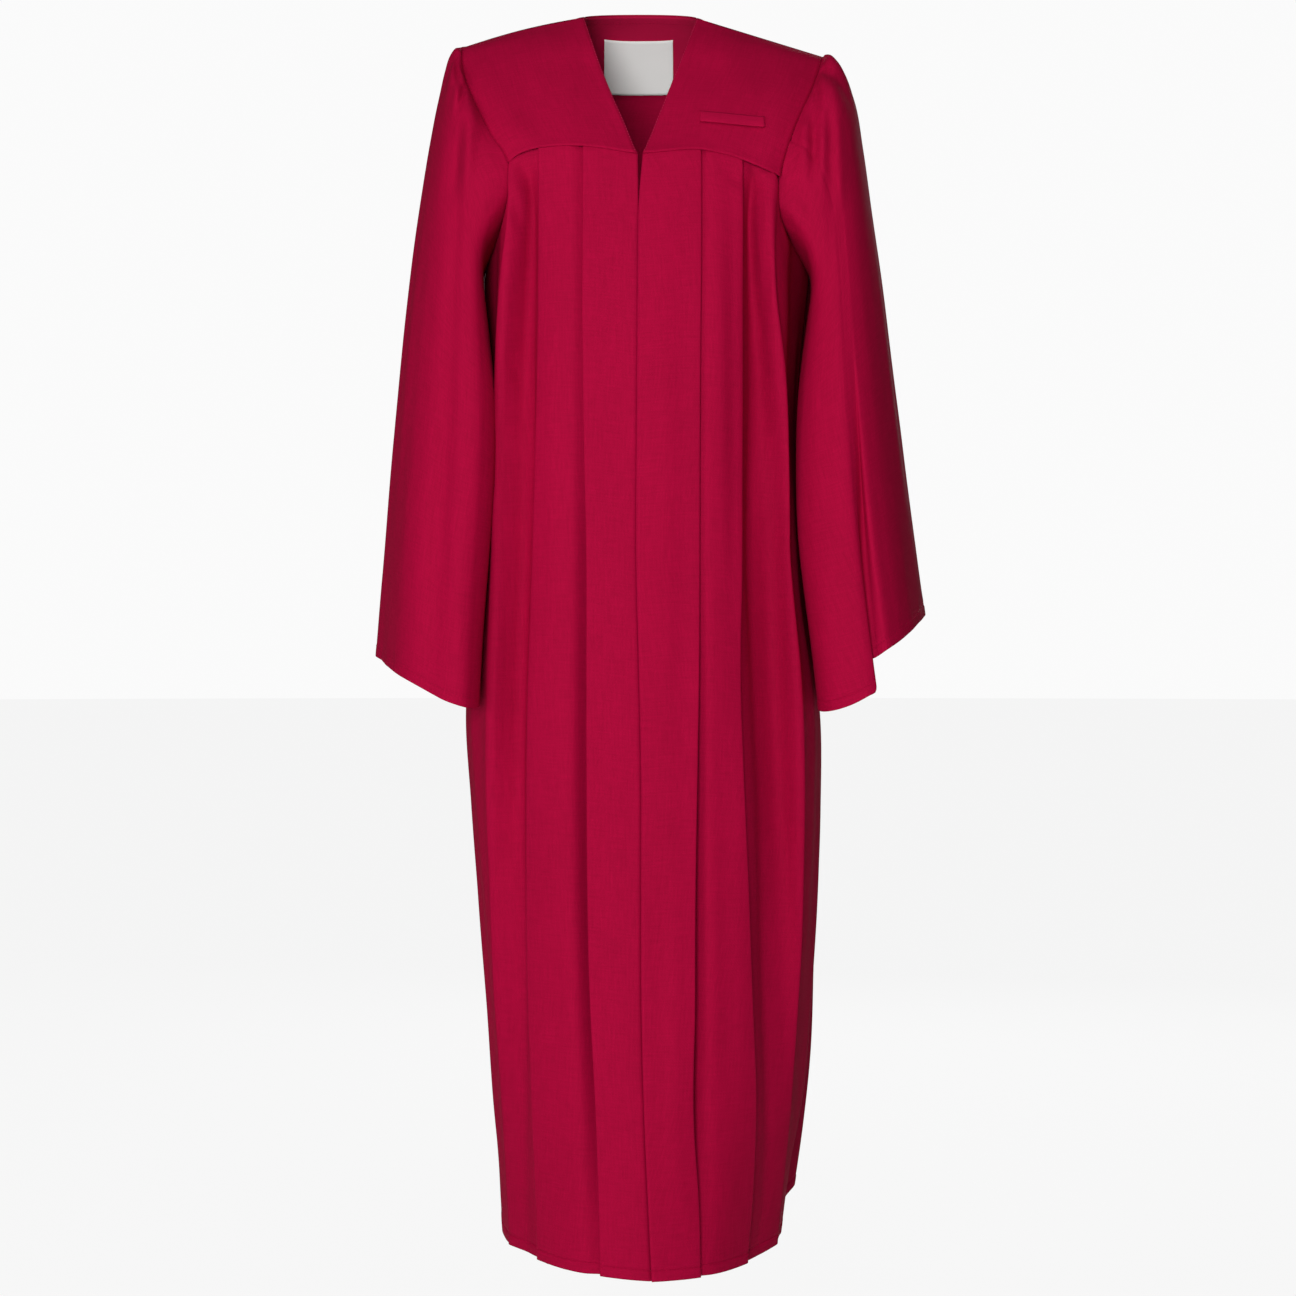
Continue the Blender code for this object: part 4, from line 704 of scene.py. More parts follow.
def cloth_piece(name, rows, material, thickness=CLOTH_THICKNESS, closed=False):
    """A thin piece of cloth on its rows of points, with a map that follows its threads."""
    count_down = len(rows) - 1
    count_across = len(rows[0]) - 1
    across = [lengths_along(row) for row in rows]
    down = lengths_along([row[len(row) // 2] for row in rows])
    mesh = bmesh.new()
    bmesh.ops.create_grid(mesh, x_segments=count_across, y_segments=count_down, size=0.5)
    threads = mesh.loops.layers.uv.new("Threads")
    places = {}
    for vertex in mesh.verts:
        column = round((vertex.co.x + 0.5) * count_across)
        row = round((0.5 - vertex.co.y) * count_down)
        places[vertex] = (row, column)
        vertex.co = rows[row][column]
    for face in mesh.faces:
        for loop in face.loops:
            row, column = places[loop.vert]
            loop[threads].uv = (across[row][column], down[row])
    if closed:
        bmesh.ops.remove_doubles(mesh, verts=mesh.verts[:], dist=TINY)
    mesh.normal_update()
    outward = sum(face.normal.dot(out_of_body(face.calc_center_median())) for face in mesh.faces)
    if outward < 0.0:
        bmesh.ops.reverse_faces(mesh, faces=mesh.faces[:])
    piece = new_object(name, mesh, material)
    wall = piece.modifiers.new("cloth thickness", "SOLIDIFY")
    wall.thickness = thickness
    wall.offset = 0.0
    wall.use_rim = True
    return piece


def new_group(name, inputs, outputs):
    """A shader node group with its inputs and outputs, each a name, a kind and a value."""
    group = bpy.data.node_groups.new(name, "ShaderNodeTree")
    for label, kind, value in inputs:
        socket = group.interface.new_socket(name=label, in_out="INPUT", socket_type=kind)
        if value is not None:
            socket.default_value = value
    for label, kind in outputs:
        group.interface.new_socket(name=label, in_out="OUTPUT", socket_type=kind)
    return group, group.nodes.new("NodeGroupInput"), group.nodes.new("NodeGroupOutput")


def calculate(tree, operation, first, second, third=None):
    """A Math node; each value is a number or an output socket."""
    node = tree.nodes.new("ShaderNodeMath")
    node.operation = operation
    for number, value in enumerate((first, second, third)):
        if isinstance(value, bpy.types.NodeSocket):
            tree.links.new(value, node.inputs[number])
        elif value is not None:
            node.inputs[number].default_value = value
    return node.outputs[0]


def noise_value(tree, place, scales, detail, roughness):
    """A Noise Texture read at a place that is scaled across and down."""
    stretched = tree.nodes.new("ShaderNodeMapping")
    stretched.inputs["Scale"].default_value = (*scales, 1.0)
    tree.links.new(place, stretched.inputs["Vector"])
    node = tree.nodes.new("ShaderNodeTexNoise")
    node.inputs["Scale"].default_value = 1.0
    node.inputs["Detail"].default_value = detail
    node.inputs["Roughness"].default_value = roughness
    tree.links.new(stretched.outputs["Vector"], node.inputs["Vector"])
    return node.outputs["Fac"]


# The weave: warp and weft crossing, thick slubs along both, and slow shade differences, each
# with its scale across and down the cloth.
WARP_SLUBS = (520.0, 34.0)
WEFT_SLUBS = (46.0, 640.0)
CLOUDS = (14.0, 5.0)
CLOUD_TONE = 0.35
MIDDLE_TONE = 0.32
CROSSING_TONE = 0.05
CROSSING_HEIGHT = 0.30
SLUB_HEIGHT = 2.0
RELIEF_DEPTH = 0.0002
TONE_POLISH = -0.10
CLOTH_SPECULAR = 0.06
SHEEN_ROUGHNESS = 0.45
THREADS_PER_METRE = 2400.0


def make_weave_group():
    group, start, end = new_group("woven threads", (
        ("Threads", "NodeSocketVector", None),
        ("Pitch", "NodeSocketFloat", THREADS_PER_METRE),
        ("Slub", "NodeSocketFloat", 0.5),
    ), (("Tone", "NodeSocketFloat"), ("Height", "NodeSocketFloat")))
    split = group.nodes.new("ShaderNodeSeparateXYZ")
    group.links.new(start.outputs["Threads"], split.inputs[0])
    waves = []
    for number in range(2):
        wave = calculate(group, "MULTIPLY", split.outputs[number], start.outputs["Pitch"])
        waves.append(calculate(group, "SINE", wave, None))
    crossing = calculate(group, "MULTIPLY", *waves)
    place = start.outputs["Threads"]
    warp_slub = noise_value(group, place, WARP_SLUBS, detail=3.0, roughness=0.6)
    weft_slub = noise_value(group, place, WEFT_SLUBS, detail=2.0, roughness=0.6)
    slub = calculate(group, "ADD", warp_slub, weft_slub)
    slub = calculate(group, "MULTIPLY_ADD", slub, 0.5, -0.5)
    slub = calculate(group, "MULTIPLY", slub, start.outputs["Slub"])
    cloud = noise_value(group, place, CLOUDS, detail=3.0, roughness=0.55)
    tone = calculate(group, "MULTIPLY_ADD", cloud, CLOUD_TONE, MIDDLE_TONE)
    tone = calculate(group, "ADD", tone, slub)
    tone = calculate(group, "MULTIPLY_ADD", crossing, CROSSING_TONE, tone)
    group.links.new(tone, end.inputs["Tone"])
    height = calculate(group, "MULTIPLY", slub, SLUB_HEIGHT)
    height = calculate(group, "MULTIPLY_ADD", crossing, CROSSING_HEIGHT, height)
    group.links.new(height, end.inputs["Height"])
    return group


woven_threads = make_weave_group()


def cloth_material(name, dark, light, roughness, slub, bump, sheen=0.03,
                   pitch=THREADS_PER_METRE, mapped=True):
    """Woven cloth: two shades mixed by its threads, with their relief and a soft sheen."""
    material = bpy.data.materials.new(name)
    material.use_nodes = True
    tree = material.node_tree
    shader = tree.nodes["Principled BSDF"]
    if mapped:
        map_node = tree.nodes.new("ShaderNodeUVMap")
        map_node.uv_map = "Threads"
        place = map_node.outputs["UV"]
    else:
        place = tree.nodes.new("ShaderNodeTexCoord").outputs["Object"]
    weave = tree.nodes.new("ShaderNodeGroup")
    weave.node_tree = woven_threads
    weave.inputs["Pitch"].default_value = pitch
    weave.inputs["Slub"].default_value = slub
    tree.links.new(place, weave.inputs["Threads"])
    shades = tree.nodes.new("ShaderNodeMix")
    shades.data_type = "RGBA"
    shades.inputs["A"].default_value = (*dark, 1.0)
    shades.inputs["B"].default_value = (*light, 1.0)
    tree.links.new(weave.outputs["Tone"], shades.inputs["Factor"])
    tree.links.new(shades.outputs["Result"], shader.inputs["Base Color"])
    rough = calculate(tree, "MULTIPLY_ADD", weave.outputs["Tone"], TONE_POLISH, roughness)
    tree.links.new(rough, shader.inputs["Roughness"])
    relief = tree.nodes.new("ShaderNodeBump")
    relief.inputs["Strength"].default_value = bump
    relief.inputs["Distance"].default_value = RELIEF_DEPTH
    tree.links.new(weave.outputs["Height"], relief.inputs["Height"])
    tree.links.new(relief.outputs["Normal"], shader.inputs["Normal"])
    shader.inputs["Specular IOR Level"].default_value = CLOTH_SPECULAR
    shader.inputs["Sheen Weight"].default_value = sheen
    shader.inputs["Sheen Roughness"].default_value = SHEEN_ROUGHNESS
    shader.inputs["Sheen Tint"].default_value = (*light, 1.0)
    return material


wine_cloth = cloth_material("wine woven polyester", (0.25, 0.0008, 0.023), (0.46, 0.0014, 0.045),
                            roughness=0.86, slub=1.10, bump=0.45)


def finish_piece(piece, node):
    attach(piece, "root")
    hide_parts(node)


front_rows = {}
for side, word in SIDES:
    panel_rows = finer_rows(front_panel_points(side))
    panel_rows = dressed_rows(panel_rows, FRONT_CREASES, out_of_body)
    if side == RIGHT:
        panel_rows = lapped_edge(panel_rows)
    front_rows[side] = tucked_under(panel_rows, out_of_body)
    front_piece = cloth_piece(word + "_front", front_rows[side], wine_cloth)
    finish_piece(front_piece, "front_panel_" + word)


# Front yokes. Two plain shaped pieces from the shoulder seam to the yoke seam, doubled at
# the edge of the V neck and pressed over the top of the pleats, which they hold.

# How high the shoulder seam arches, and how far the pressed and the doubled edges stand out.
SHOULDER_RISE = {RIGHT: 0.0030, LEFT: 0.0}
YOKE_STEP = 0.0045
YOKE_STAND = 0.0006
YOKE_STAND_FADE = (0.0005, 0.0090)
NECK_STAND = 0.0005
NECK_STAND_FADE = (0.006, 0.0075)
YOKE_MIDDLE = Vector((0.0, 0.020, -0.260))
YOKE_CREASES = (
    *creases_on("front", (
        (-0.09, -0.02, -0.06, -0.128, 0.012, 0.0014),
        (-0.118, -0.06, -0.096, -0.14, 0.01, -0.0014),
        (-0.056, -0.04, -0.034, -0.12, 0.009, -0.001),
        (0.1, -0.03, 0.076, -0.134, 0.012, 0.0014),
        (0.13, -0.08, 0.108, -0.15, 0.009, -0.0014),
        (0.06, -0.05, 0.038, -0.12, 0.01, -0.001),
    )),
)


def seam_point(side, across, height, end, end_angle):
    """A point of a front yoke's lower edge, on the body's plain outline."""
    angle = front_angle(side, across, height)
    flat = outline(side, angle, height) + seam_end_shift(side, end, end_angle, across)
    return Vector((side * flat.x, flat.y, height))


def neck_point(side):
    return v_edge_point(side, 0.0)


def shoulder_point(side, share):
    point = neck_point(side).lerp(armhole_point(side, 0.0), share)
    point.z += SHOULDER_RISE[side] * math.sin(math.pi * share)
    return point


def ring_at(rings, place):
    """The ring of a sleeve at a place counted in rings."""
    low = min(int(place), len(rings) - 2)
    return blend_rows(rings, list(range(len(rings))), low, place - low)


def v_edge_point(side, share):
    rows = V_EDGES[side]
    row = ring_at(rows, share * (len(rows) - 1))
    return Vector((side * row.across, row.depth, row.height))


def patch(top, bottom, start, end):
    """A smooth surface through four edges, each a list of points: rows from top to bottom."""
    count_down = len(start) - 1
    count_across = len(top) - 1
    rows = []
    for down in range(count_down + 1):
        v = down / count_down
        row = []
        for across in range(count_across + 1):
            u = across / count_across
            rails = top[across] * (1.0 - v) + bottom[across] * v
            ends = start[down] * (1.0 - u) + end[down] * u
            corners = (top[0] * (1.0 - v) + bottom[0] * v) * (1.0 - u)
            corners += (top[-1] * (1.0 - v) + bottom[-1] * v) * u
            row.append(rails + ends - corners)
        rows.append(row)
    return rows


def front_yoke_points(side):
    """Rows of points of a front yoke, from the shoulder to the yoke seam."""
    across = yoke_stations(side)
    end = armhole_point(side, FRONT_SEAM_END)
    end_angle = front_angle(side, end.x, end.z)
    gap = SEAM_GAP / 2.0
    bottom = []
    top = []
    for value in across:
        height = front_seam_height(side, value)
        bottom.append(seam_point(side, value, height, end, end_angle))
        top.append(shoulder_point(side, (value - across[0]) / (across[-1] - across[0])))
    inner = [v_edge_point(side, step / YOKE_ROWS) for step in range(YOKE_ROWS + 1)]
    outer = [armhole_point(side, FRONT_SEAM_END * step / YOKE_ROWS) for step in range(YOKE_ROWS + 1)]
    inner[-1] = bottom[0].copy()
    bottom[-1] = outer[-1].copy()
    rows = patch(top, bottom, inner, outer)
    for point in rows[0]:
        point.y -= gap
    for point in rows[-1]:
        point.z += gap
    return left_to_right(side, rows)


def out_at_place(rows, row, column):
    """The direction out of a piece at one of its points."""
    across = rows[row][min(column + 1, len(rows[0]) - 1)] - rows[row][max(column - 1, 0)]
    down = rows[min(row + 1, len(rows) - 1)][column] - rows[max(row - 1, 0)][column]
    out = across.cross(down).normalized()
    return -out if out.dot(rows[row][column] - YOKE_MIDDLE) < 0.0 else out


def dressed_yoke(plain, creases, neck_column=None):
    """Finer rows of a yoke with its creases and the stand of its pressed and doubled edges."""
    rows = finer_rows(plain, hem=False, across_step=YOKE_STEP, down_step=YOKE_STEP)
    result = []
    for row_place, row in enumerate(rows):
        line = []
        for column, point in enumerate(row):
            out = out_at_place(rows, row_place, column)
            shoulder = (point - rows[0][column]).length
            seam = (point - rows[-1][column]).length
            shift = crease_at(creases, point, out) * smooth_step(0.0, SETTLE, min(shoulder, seam))
            move = YOKE_STAND * (1.0 - smooth_step(*YOKE_STAND_FADE, seam))
            if neck_column is not None:
                away = (point - row[neck_column]).length
                move += NECK_STAND * (1.0 - smooth_step(*NECK_STAND_FADE, away))
            line.append(point + shift + out * move)
        result.append(line)
    return result


yoke_rows = {}
for side, word in SIDES:
    yoke_rows[side] = dressed_yoke(front_yoke_points(side), YOKE_CREASES, 0 if side == RIGHT else -1)
    yoke_piece = cloth_piece(word + "_front_yoke", yoke_rows[side], wine_cloth)
    finish_piece(yoke_piece, "front_yoke_" + word)


# Welt. A narrow folded strip of the same cloth, sewn slantwise on the wearer's left yoke
# and stitched down along its ends.

# A strip as seen from the front: the middles of its two ends and how tall it is.
Strip = namedtuple("Strip", "inner_x inner_z outer_x outer_z tall")
WELT = Strip(0.0610, -0.1195, 0.1250, -0.1245, 0.0110)
WELT_LIFT = 0.0022
WELT_THICKNESS = 0.0018
WELT_CROWN = 0.0006
WELT_STEPS = (26, 8)


def point_on(rows, down, across):
    """A point between the points of a piece, by its row and column as real numbers."""
    low_row = min(max(int(down), 0), len(rows) - 2)
    low_column = min(max(int(across), 0), len(rows[0]) - 2)
    share_down = down - low_row
    share_across = across - low_column
    upper = rows[low_row][low_column].lerp(rows[low_row][low_column + 1], share_across)
    lower = rows[low_row + 1][low_column].lerp(rows[low_row + 1][low_column + 1], share_across)
    return upper.lerp(lower, share_down)


def normal_on(rows, down, across):
    step = 0.3
    ahead = point_on(rows, down, across + step) - point_on(rows, down, across - step)
    below = point_on(rows, down + step, across) - point_on(rows, down - step, across)
    return below.cross(ahead).normalized()


def place_of(rows, across_x, height):
    """The row and column of the point of a piece that the front view shows at a place."""
    down = (len(rows) - 1) / 2.0
    across = (len(rows[0]) - 1) / 2.0
    step = 0.01
    pace = 0.8
    tries = 30
    for attempt in range(tries):
        here = point_on(rows, down, across)
        by_row = (point_on(rows, down + step, across) - here) / step
        by_column = (point_on(rows, down, across + step) - here) / step
        error_x = across_x - here.x
        error_z = height - here.z
        scale = by_row.x * by_column.z - by_column.x * by_row.z
        down += pace * (error_x * by_column.z - error_z * by_column.x) / scale
        across += pace * (by_row.x * error_z - by_row.z * error_x) / scale
        down = min(max(down, 0.0), len(rows) - 1.0)
        across = min(max(across, 0.0), len(rows[0]) - 1.0)
    return down, across


def strip_points(rows, strip, steps, lift):
    """Points of a strip that lies on a piece, lifted off it towards the front."""
    count_across, count_down = steps
    result = []
    for down in range(count_down + 1):
        fall = strip.tall * (0.5 - down / count_down)
        row = []
        for across in range(count_across + 1):
            share = across / count_across
            x = strip.inner_x + (strip.outer_x - strip.inner_x) * share
            z = strip.inner_z + (strip.outer_z - strip.inner_z) * share + fall
            place = place_of(rows, x, z)
            row.append(point_on(rows, *place) - normal_on(rows, *place) * lift)
        result.append(row)
    return result


# The welt's cloth is the wine cloth in lighter shades. This is painted light, standing in for the
# brighter light that the welt catches.
welt_cloth_painted_lighter = cloth_material("wine cloth of the welt painted lighter", (0.28, 0.0012, 0.027), (0.49, 0.0022, 0.050),
                            roughness=0.84, slub=0.80, bump=0.45)
welt_rows = strip_points(yoke_rows[LEFT], WELT, WELT_STEPS, WELT_LIFT)
for row_place, row in enumerate(welt_rows):
    crown = WELT_CROWN * math.sin(math.pi * row_place / (len(welt_rows) - 1))
    for point in row:
        point.y -= crown
welt_piece = cloth_piece("yoke_welt", welt_rows, welt_cloth_painted_lighter, thickness=WELT_THICKNESS)
finish_piece(welt_piece, "pocket_welt")


# Back panel. One wide length of the same cloth, sewn under the back yoke and to both fronts
# down the sides; it hangs in soft flutes that grow towards a shorter, stitched hem.

# Soft flutes of the back, by their angle round the body from the centre front. Each grows
# from its size at the yoke seam to its size at the hem.
Flute = namedtuple("Flute", "angle width at_seam at_waist at_hem")
FLUTES = {
    RIGHT: table_of(Flute, (
        (111.0, 9.0, 0.000, 0.000, 0.012),
        (127.0, 9.0, -0.001, -0.006, -0.012),
        (136.0, 6.0, 0.0, 0.002, 0.004),
        (144.0, 8.0, 0.001, 0.006, 0.010),
        (154.0, 6.0, -0.001, -0.006, -0.011),
        (164.0, 7.0, 0.001, 0.006, 0.010),
        (174.0, 6.0, -0.001, -0.006, -0.010),
    )),
    LEFT: table_of(Flute, (
        (110.0, 9.0, 0.0, 0.000, 0.023),
        (125.0, 8.0, -0.001, -0.006, -0.012),
        (136.0, 6.0, 0.0, 0.003, 0.005),
        (146.0, 8.0, 0.001, 0.007, 0.011),
        (157.0, 7.0, -0.001, -0.006, -0.011),
        (168.0, 7.0, 0.001, 0.006, 0.010),
        (177.0, 5.0, -0.001, -0.005, -0.009),
    )),
}
FLUTE_HEIGHTS = (-0.150, -0.600, -1.220)
FLUTE_SHARPNESS = 1.6
BACK_SEAM_CENTRE = -0.158
BACK_COLUMNS = 14
BACK_CREASES = (
    *creases_on("back", (
        (-0.09, -0.2, -0.11, -0.38, 0.01, -0.0028),
        (-0.048, -0.19, -0.056, -0.46, 0.009, 0.002),
        (-0.02, -0.185, -0.026, -0.62, 0.01, -0.002),
        (0.012, -0.19, 0.014, -0.54, 0.009, 0.0018),
        (0.046, -0.2, 0.06, -0.42, 0.01, -0.0024),
        (0.09, -0.2, 0.112, -0.36, 0.009, 0.0022),
        (-0.08, -0.48, -0.062, -0.9, 0.01, 0.0022),
        (0.03, -0.6, 0.044, -1.1, 0.01, -0.002),
        (0.076, -0.52, 0.09, -0.98, 0.011, 0.0022),
        (-0.03, -0.76, -0.042, -1.18, 0.01, 0.002),
        (-0.118, -0.62, -0.104, -1.12, 0.011, -0.0024),
        (0.128, -0.7, 0.116, -1.16, 0.011, -0.0024),
    )),
    *creases_on("right", (
        (0.06, -0.2, 0.064, -0.4, 0.016, 0.003),
        (0.07, -0.42, 0.076, -0.74, 0.012, -0.003),
        (0.105, -0.6, 0.11, -1.15, 0.012, 0.0028),
    )),
    *creases_on("left", (
        (0.072, -0.3, 0.078, -0.7, 0.012, -0.0028),
        (0.108, -0.64, 0.106, -1.18, 0.012, 0.0026),
    )),
)


def back_seam_height(side, across):
    end = armhole_point(side, BACK_SEAM_END)
    share = min(abs(across) / abs(end.x), 1.0)
    return BACK_SEAM_CENTRE + (end.z - BACK_SEAM_CENTRE) * share * share


def back_offset(side, degrees, height):
    """How far the soft flutes of the back stand out of its outline."""
    top, waist, hem = FLUTE_HEIGHTS
    upper = smooth_step(top, waist, height)
    lower = smooth_step(waist, hem, height)
    out = 0.0
    for flute in FLUTES[side]:
        size = flute.at_seam + (flute.at_waist - flute.at_seam) * upper
        size += (flute.at_hem - flute.at_waist) * lower
        spread = (degrees - flute.angle) / flute.width
        out += size * math.exp(-spread * spread * FLUTE_SHARPNESS)
    return out


def back_angles(side):
    """Angles of the back panel's columns, from the side seam to the centre back."""
    end = armhole_point(side, BACK_SEAM_END)
    corner = 180.0 - front_angle(side, end.x, end.z)
    sides = [90.0 + (corner - 90.0) * step / SIDE_COLUMNS for step in range(SIDE_COLUMNS)]
    rest = [corner + (180.0 - corner) * step / BACK_COLUMNS for step in range(BACK_COLUMNS + 1)]
    return sides, rest


def back_seam_place(side, angle, corner):
    """The height of the back seam at an angle, and its shift from the plain outline."""
    end = armhole_point(side, BACK_SEAM_END)
    across = outline(side, angle, end.z).x
    return back_seam_height(side, across), seam_end_shift(side, end, corner, across)


def back_panel_half(side):
    """Columns of the back panel on one side, each a top point, a hem height and a shift."""
    sides, rest = back_angles(side)
    columns = []
    for step, angle in enumerate(sides):
        place = UNDERARM + (BACK_SEAM_END - UNDERARM) * step / SIDE_COLUMNS
        top = armhole_point(side, place)
        base = outline(side, angle, top.z)
        columns.append((angle, top.z, Vector((abs(top.x), top.y)) - base))
    for angle in rest:
        height, shift = back_seam_place(side, angle, rest[0])
        columns.append((angle, height, shift))
    return columns


def back_panel_points():
    """Rows of points of the back panel, from its left side seam round to its right one."""
    rows = []
    gap = SEAM_GAP / 2.0
    for part in PANEL_ROWS:
        halves = {}
        for side in (LEFT, RIGHT):
            line = []
            for angle, top_height, shift in back_panel_half(side):
                low = hem_height(side, angle)
                height = top_height + (low - top_height) * part
                outward = out_of_outline(side, angle, height)
                flat = outline(side, angle, height) + outward * back_offset(side, angle, height)
                flat = flat + shift * (1.0 - smooth_step(top_height, top_height - SEAM_FADE, height))
                line.append(Vector((side * flat.x, flat.y, height)))
            line[0].y += gap
            halves[side] = line
        halves[RIGHT].reverse()
        rows.append(halves[LEFT] + halves[RIGHT][1:])
    for column in range(SIDE_COLUMNS, len(rows[0]) - SIDE_COLUMNS):
        rows[0][column].z -= gap
    return rows


back_rows = finer_rows(back_panel_points())
back_rows = tucked_under(dressed_rows(back_rows, BACK_CREASES, out_of_body), out_of_body)


back_piece = cloth_piece("back", side_allowances(back_rows, out_of_body), wine_cloth)
finish_piece(back_piece, "back_panel")


# Back yoke. One shaped piece from the shoulder seams to the back seam, its neckline arched
# up behind the wearer's neck.
BACK_NECK = Vector((0.002, 0.064, 0.0175))
NECK_ROUNDING = 0.88
SHOULDER_COLUMNS = 5
BACK_YOKE_CREASES = (
    *creases_on("back", (
        (-0.03, -0.02, -0.08, -0.13, 0.012, 0.0012),
        (0.03, -0.03, 0.085, -0.14, 0.012, -0.0012),
        (-0.11, -0.07, -0.09, -0.15, 0.01, -0.0012),
    )),
)


def back_neck_point(share):
    """The back neckline, an arch from the left neck point round behind to the right one."""
    start = neck_point(LEFT)
    end = neck_point(RIGHT)
    if share < 0.5:
        near, part = start, share * 2.0
    else:
        near, part = end, (1.0 - share) * 2.0
    turn = part * math.pi / 2.0
    across = BACK_NECK.x + (near.x - BACK_NECK.x) * math.cos(turn) ** NECK_ROUNDING
    depth = near.y + (BACK_NECK.y - near.y) * math.sin(turn) ** NECK_ROUNDING
    height = near.z + (BACK_NECK.z - near.z) * math.sin(turn) ** NECK_ROUNDING
    return Vector((across, depth, height))


def back_yoke_points():
    """Rows of points of the back yoke, from its top edge to its seam, left to right."""
    gap = SEAM_GAP / 2.0
    bottom = []
    for side in (LEFT, RIGHT):
        end = armhole_point(side, BACK_SEAM_END)
        rest = back_angles(side)[1]
        half = []
        for angle in rest:
            height, shift = back_seam_place(side, angle, rest[0])
            flat = outline(side, angle, height) + shift
            half.append(Vector((side * flat.x, flat.y, height + gap)))
        half[0] = end + Vector((0.0, 0.0, gap))
        if side == RIGHT:
            half = list(reversed(half))[1:]
        bottom.extend(half)
    neck_columns = len(bottom) - 1 - 2 * SHOULDER_COLUMNS
    top = []
    for step in range(SHOULDER_COLUMNS):
        top.append(shoulder_point(LEFT, 1.0 - step / SHOULDER_COLUMNS))
    for step in range(neck_columns + 1):
        top.append(back_neck_point(step / neck_columns))
    for step in range(1, SHOULDER_COLUMNS + 1):
        top.append(shoulder_point(RIGHT, step / SHOULDER_COLUMNS))
    last = len(ARMHOLES[LEFT])
    edges = {}
    for side in (LEFT, RIGHT):
        edges[side] = [armhole_point(side, last + (BACK_SEAM_END - last) * step / YOKE_ROWS)
                       for step in range(YOKE_ROWS + 1)]
        edges[side][-1].z += gap
    rows = patch(top, bottom, edges[LEFT], edges[RIGHT])
    for point in rows[0]:
        point.y += gap
    return rows


back_yoke_rows = dressed_yoke(back_yoke_points(), BACK_YOKE_CREASES)
back_yoke_piece = cloth_piece("back_yoke_cloth", back_yoke_rows, wine_cloth)
finish_piece(back_yoke_piece, "back_yoke")


# Back neck facing. A band of the same cloth, wrong side out and a shade lighter, sewn round
# the inside of the back neck.
FACING_TOP = 0.06
FACING_FOOT = 3.9
FACING_LIFT = 0.0013
FACING_INSET = 3
inside_cloth = cloth_material("wine cloth inside", (0.36, 0.0050, 0.042), (0.52, 0.0070, 0.058),
                              roughness=0.88, slub=0.5, bump=0.30)


def facing_rows(rows):
    """The upper middle of the back yoke's rows, moved inward."""
    scale_down = (len(rows) - 1) / YOKE_ROWS
    first = round(FACING_INSET * (len(rows[0]) - 1) / (2 * BACK_COLUMNS))
    last = len(rows[0]) - 1 - first
    count = round((FACING_FOOT - FACING_TOP) * scale_down)
    result = []
    for step in range(count + 1):
        down = (FACING_TOP + (FACING_FOOT - FACING_TOP) * step / count) * scale_down
        line = []
        for column in range(first, last + 1):
            out = out_at_place(rows, round(down), column)
            line.append(point_on(rows, down, column) - out * FACING_LIFT)
        result.append(line)
    return result


facing_lines = facing_rows(back_yoke_rows)
facing_piece = cloth_piece("neck_facing", facing_lines, inside_cloth)
finish_piece(facing_piece, "back_neck_facing")


# Label. A bare white woven tape with turned ends, sewn inside the back neck on the facing.
LABEL = Strip(-0.0375, -0.0305, 0.0370, -0.0305, 0.0520)
LABEL_LIFT = 0.0034
LABEL_THICKNESS = 0.0005
LABEL_BOW = 0.0006
LABEL_RIPPLE = 0.0003
LABEL_RIPPLE_TURN = 0.4
LABEL_STEPS = (30, 22)
label_cloth = cloth_material("white woven tape", (0.86, 0.86, 0.84), (0.95, 0.95, 0.93),
                             roughness=0.62, slub=0.25, bump=0.20, sheen=0.02, pitch=3600.0)
label_rows = strip_points(back_yoke_rows, LABEL, LABEL_STEPS, LABEL_LIFT)
for row_place, row in enumerate(label_rows):
    share = row_place / (len(label_rows) - 1)
    for column, point in enumerate(row):
        ripple = LABEL_RIPPLE * math.sin(column * LABEL_RIPPLE_TURN)
        point.y -= LABEL_BOW * math.sin(math.pi * share) + ripple
label_piece = cloth_piece("bare_label", label_rows, label_cloth, thickness=LABEL_THICKNESS)
finish_piece(label_piece, "neck_label")


# Sleeves. Wide bells, gathered a little into the armhole over the shoulder and stitched at
# the cuff; the wearer's left one has one deep fold that opens down its front to the cuff.
SLEEVE_SEAM_GAP = 0.0005
SLEEVE_CLEARANCE = 0.0065
SLEEVE_SOFTNESS = 0.004
ARMHOLE_LEAN = 0.33
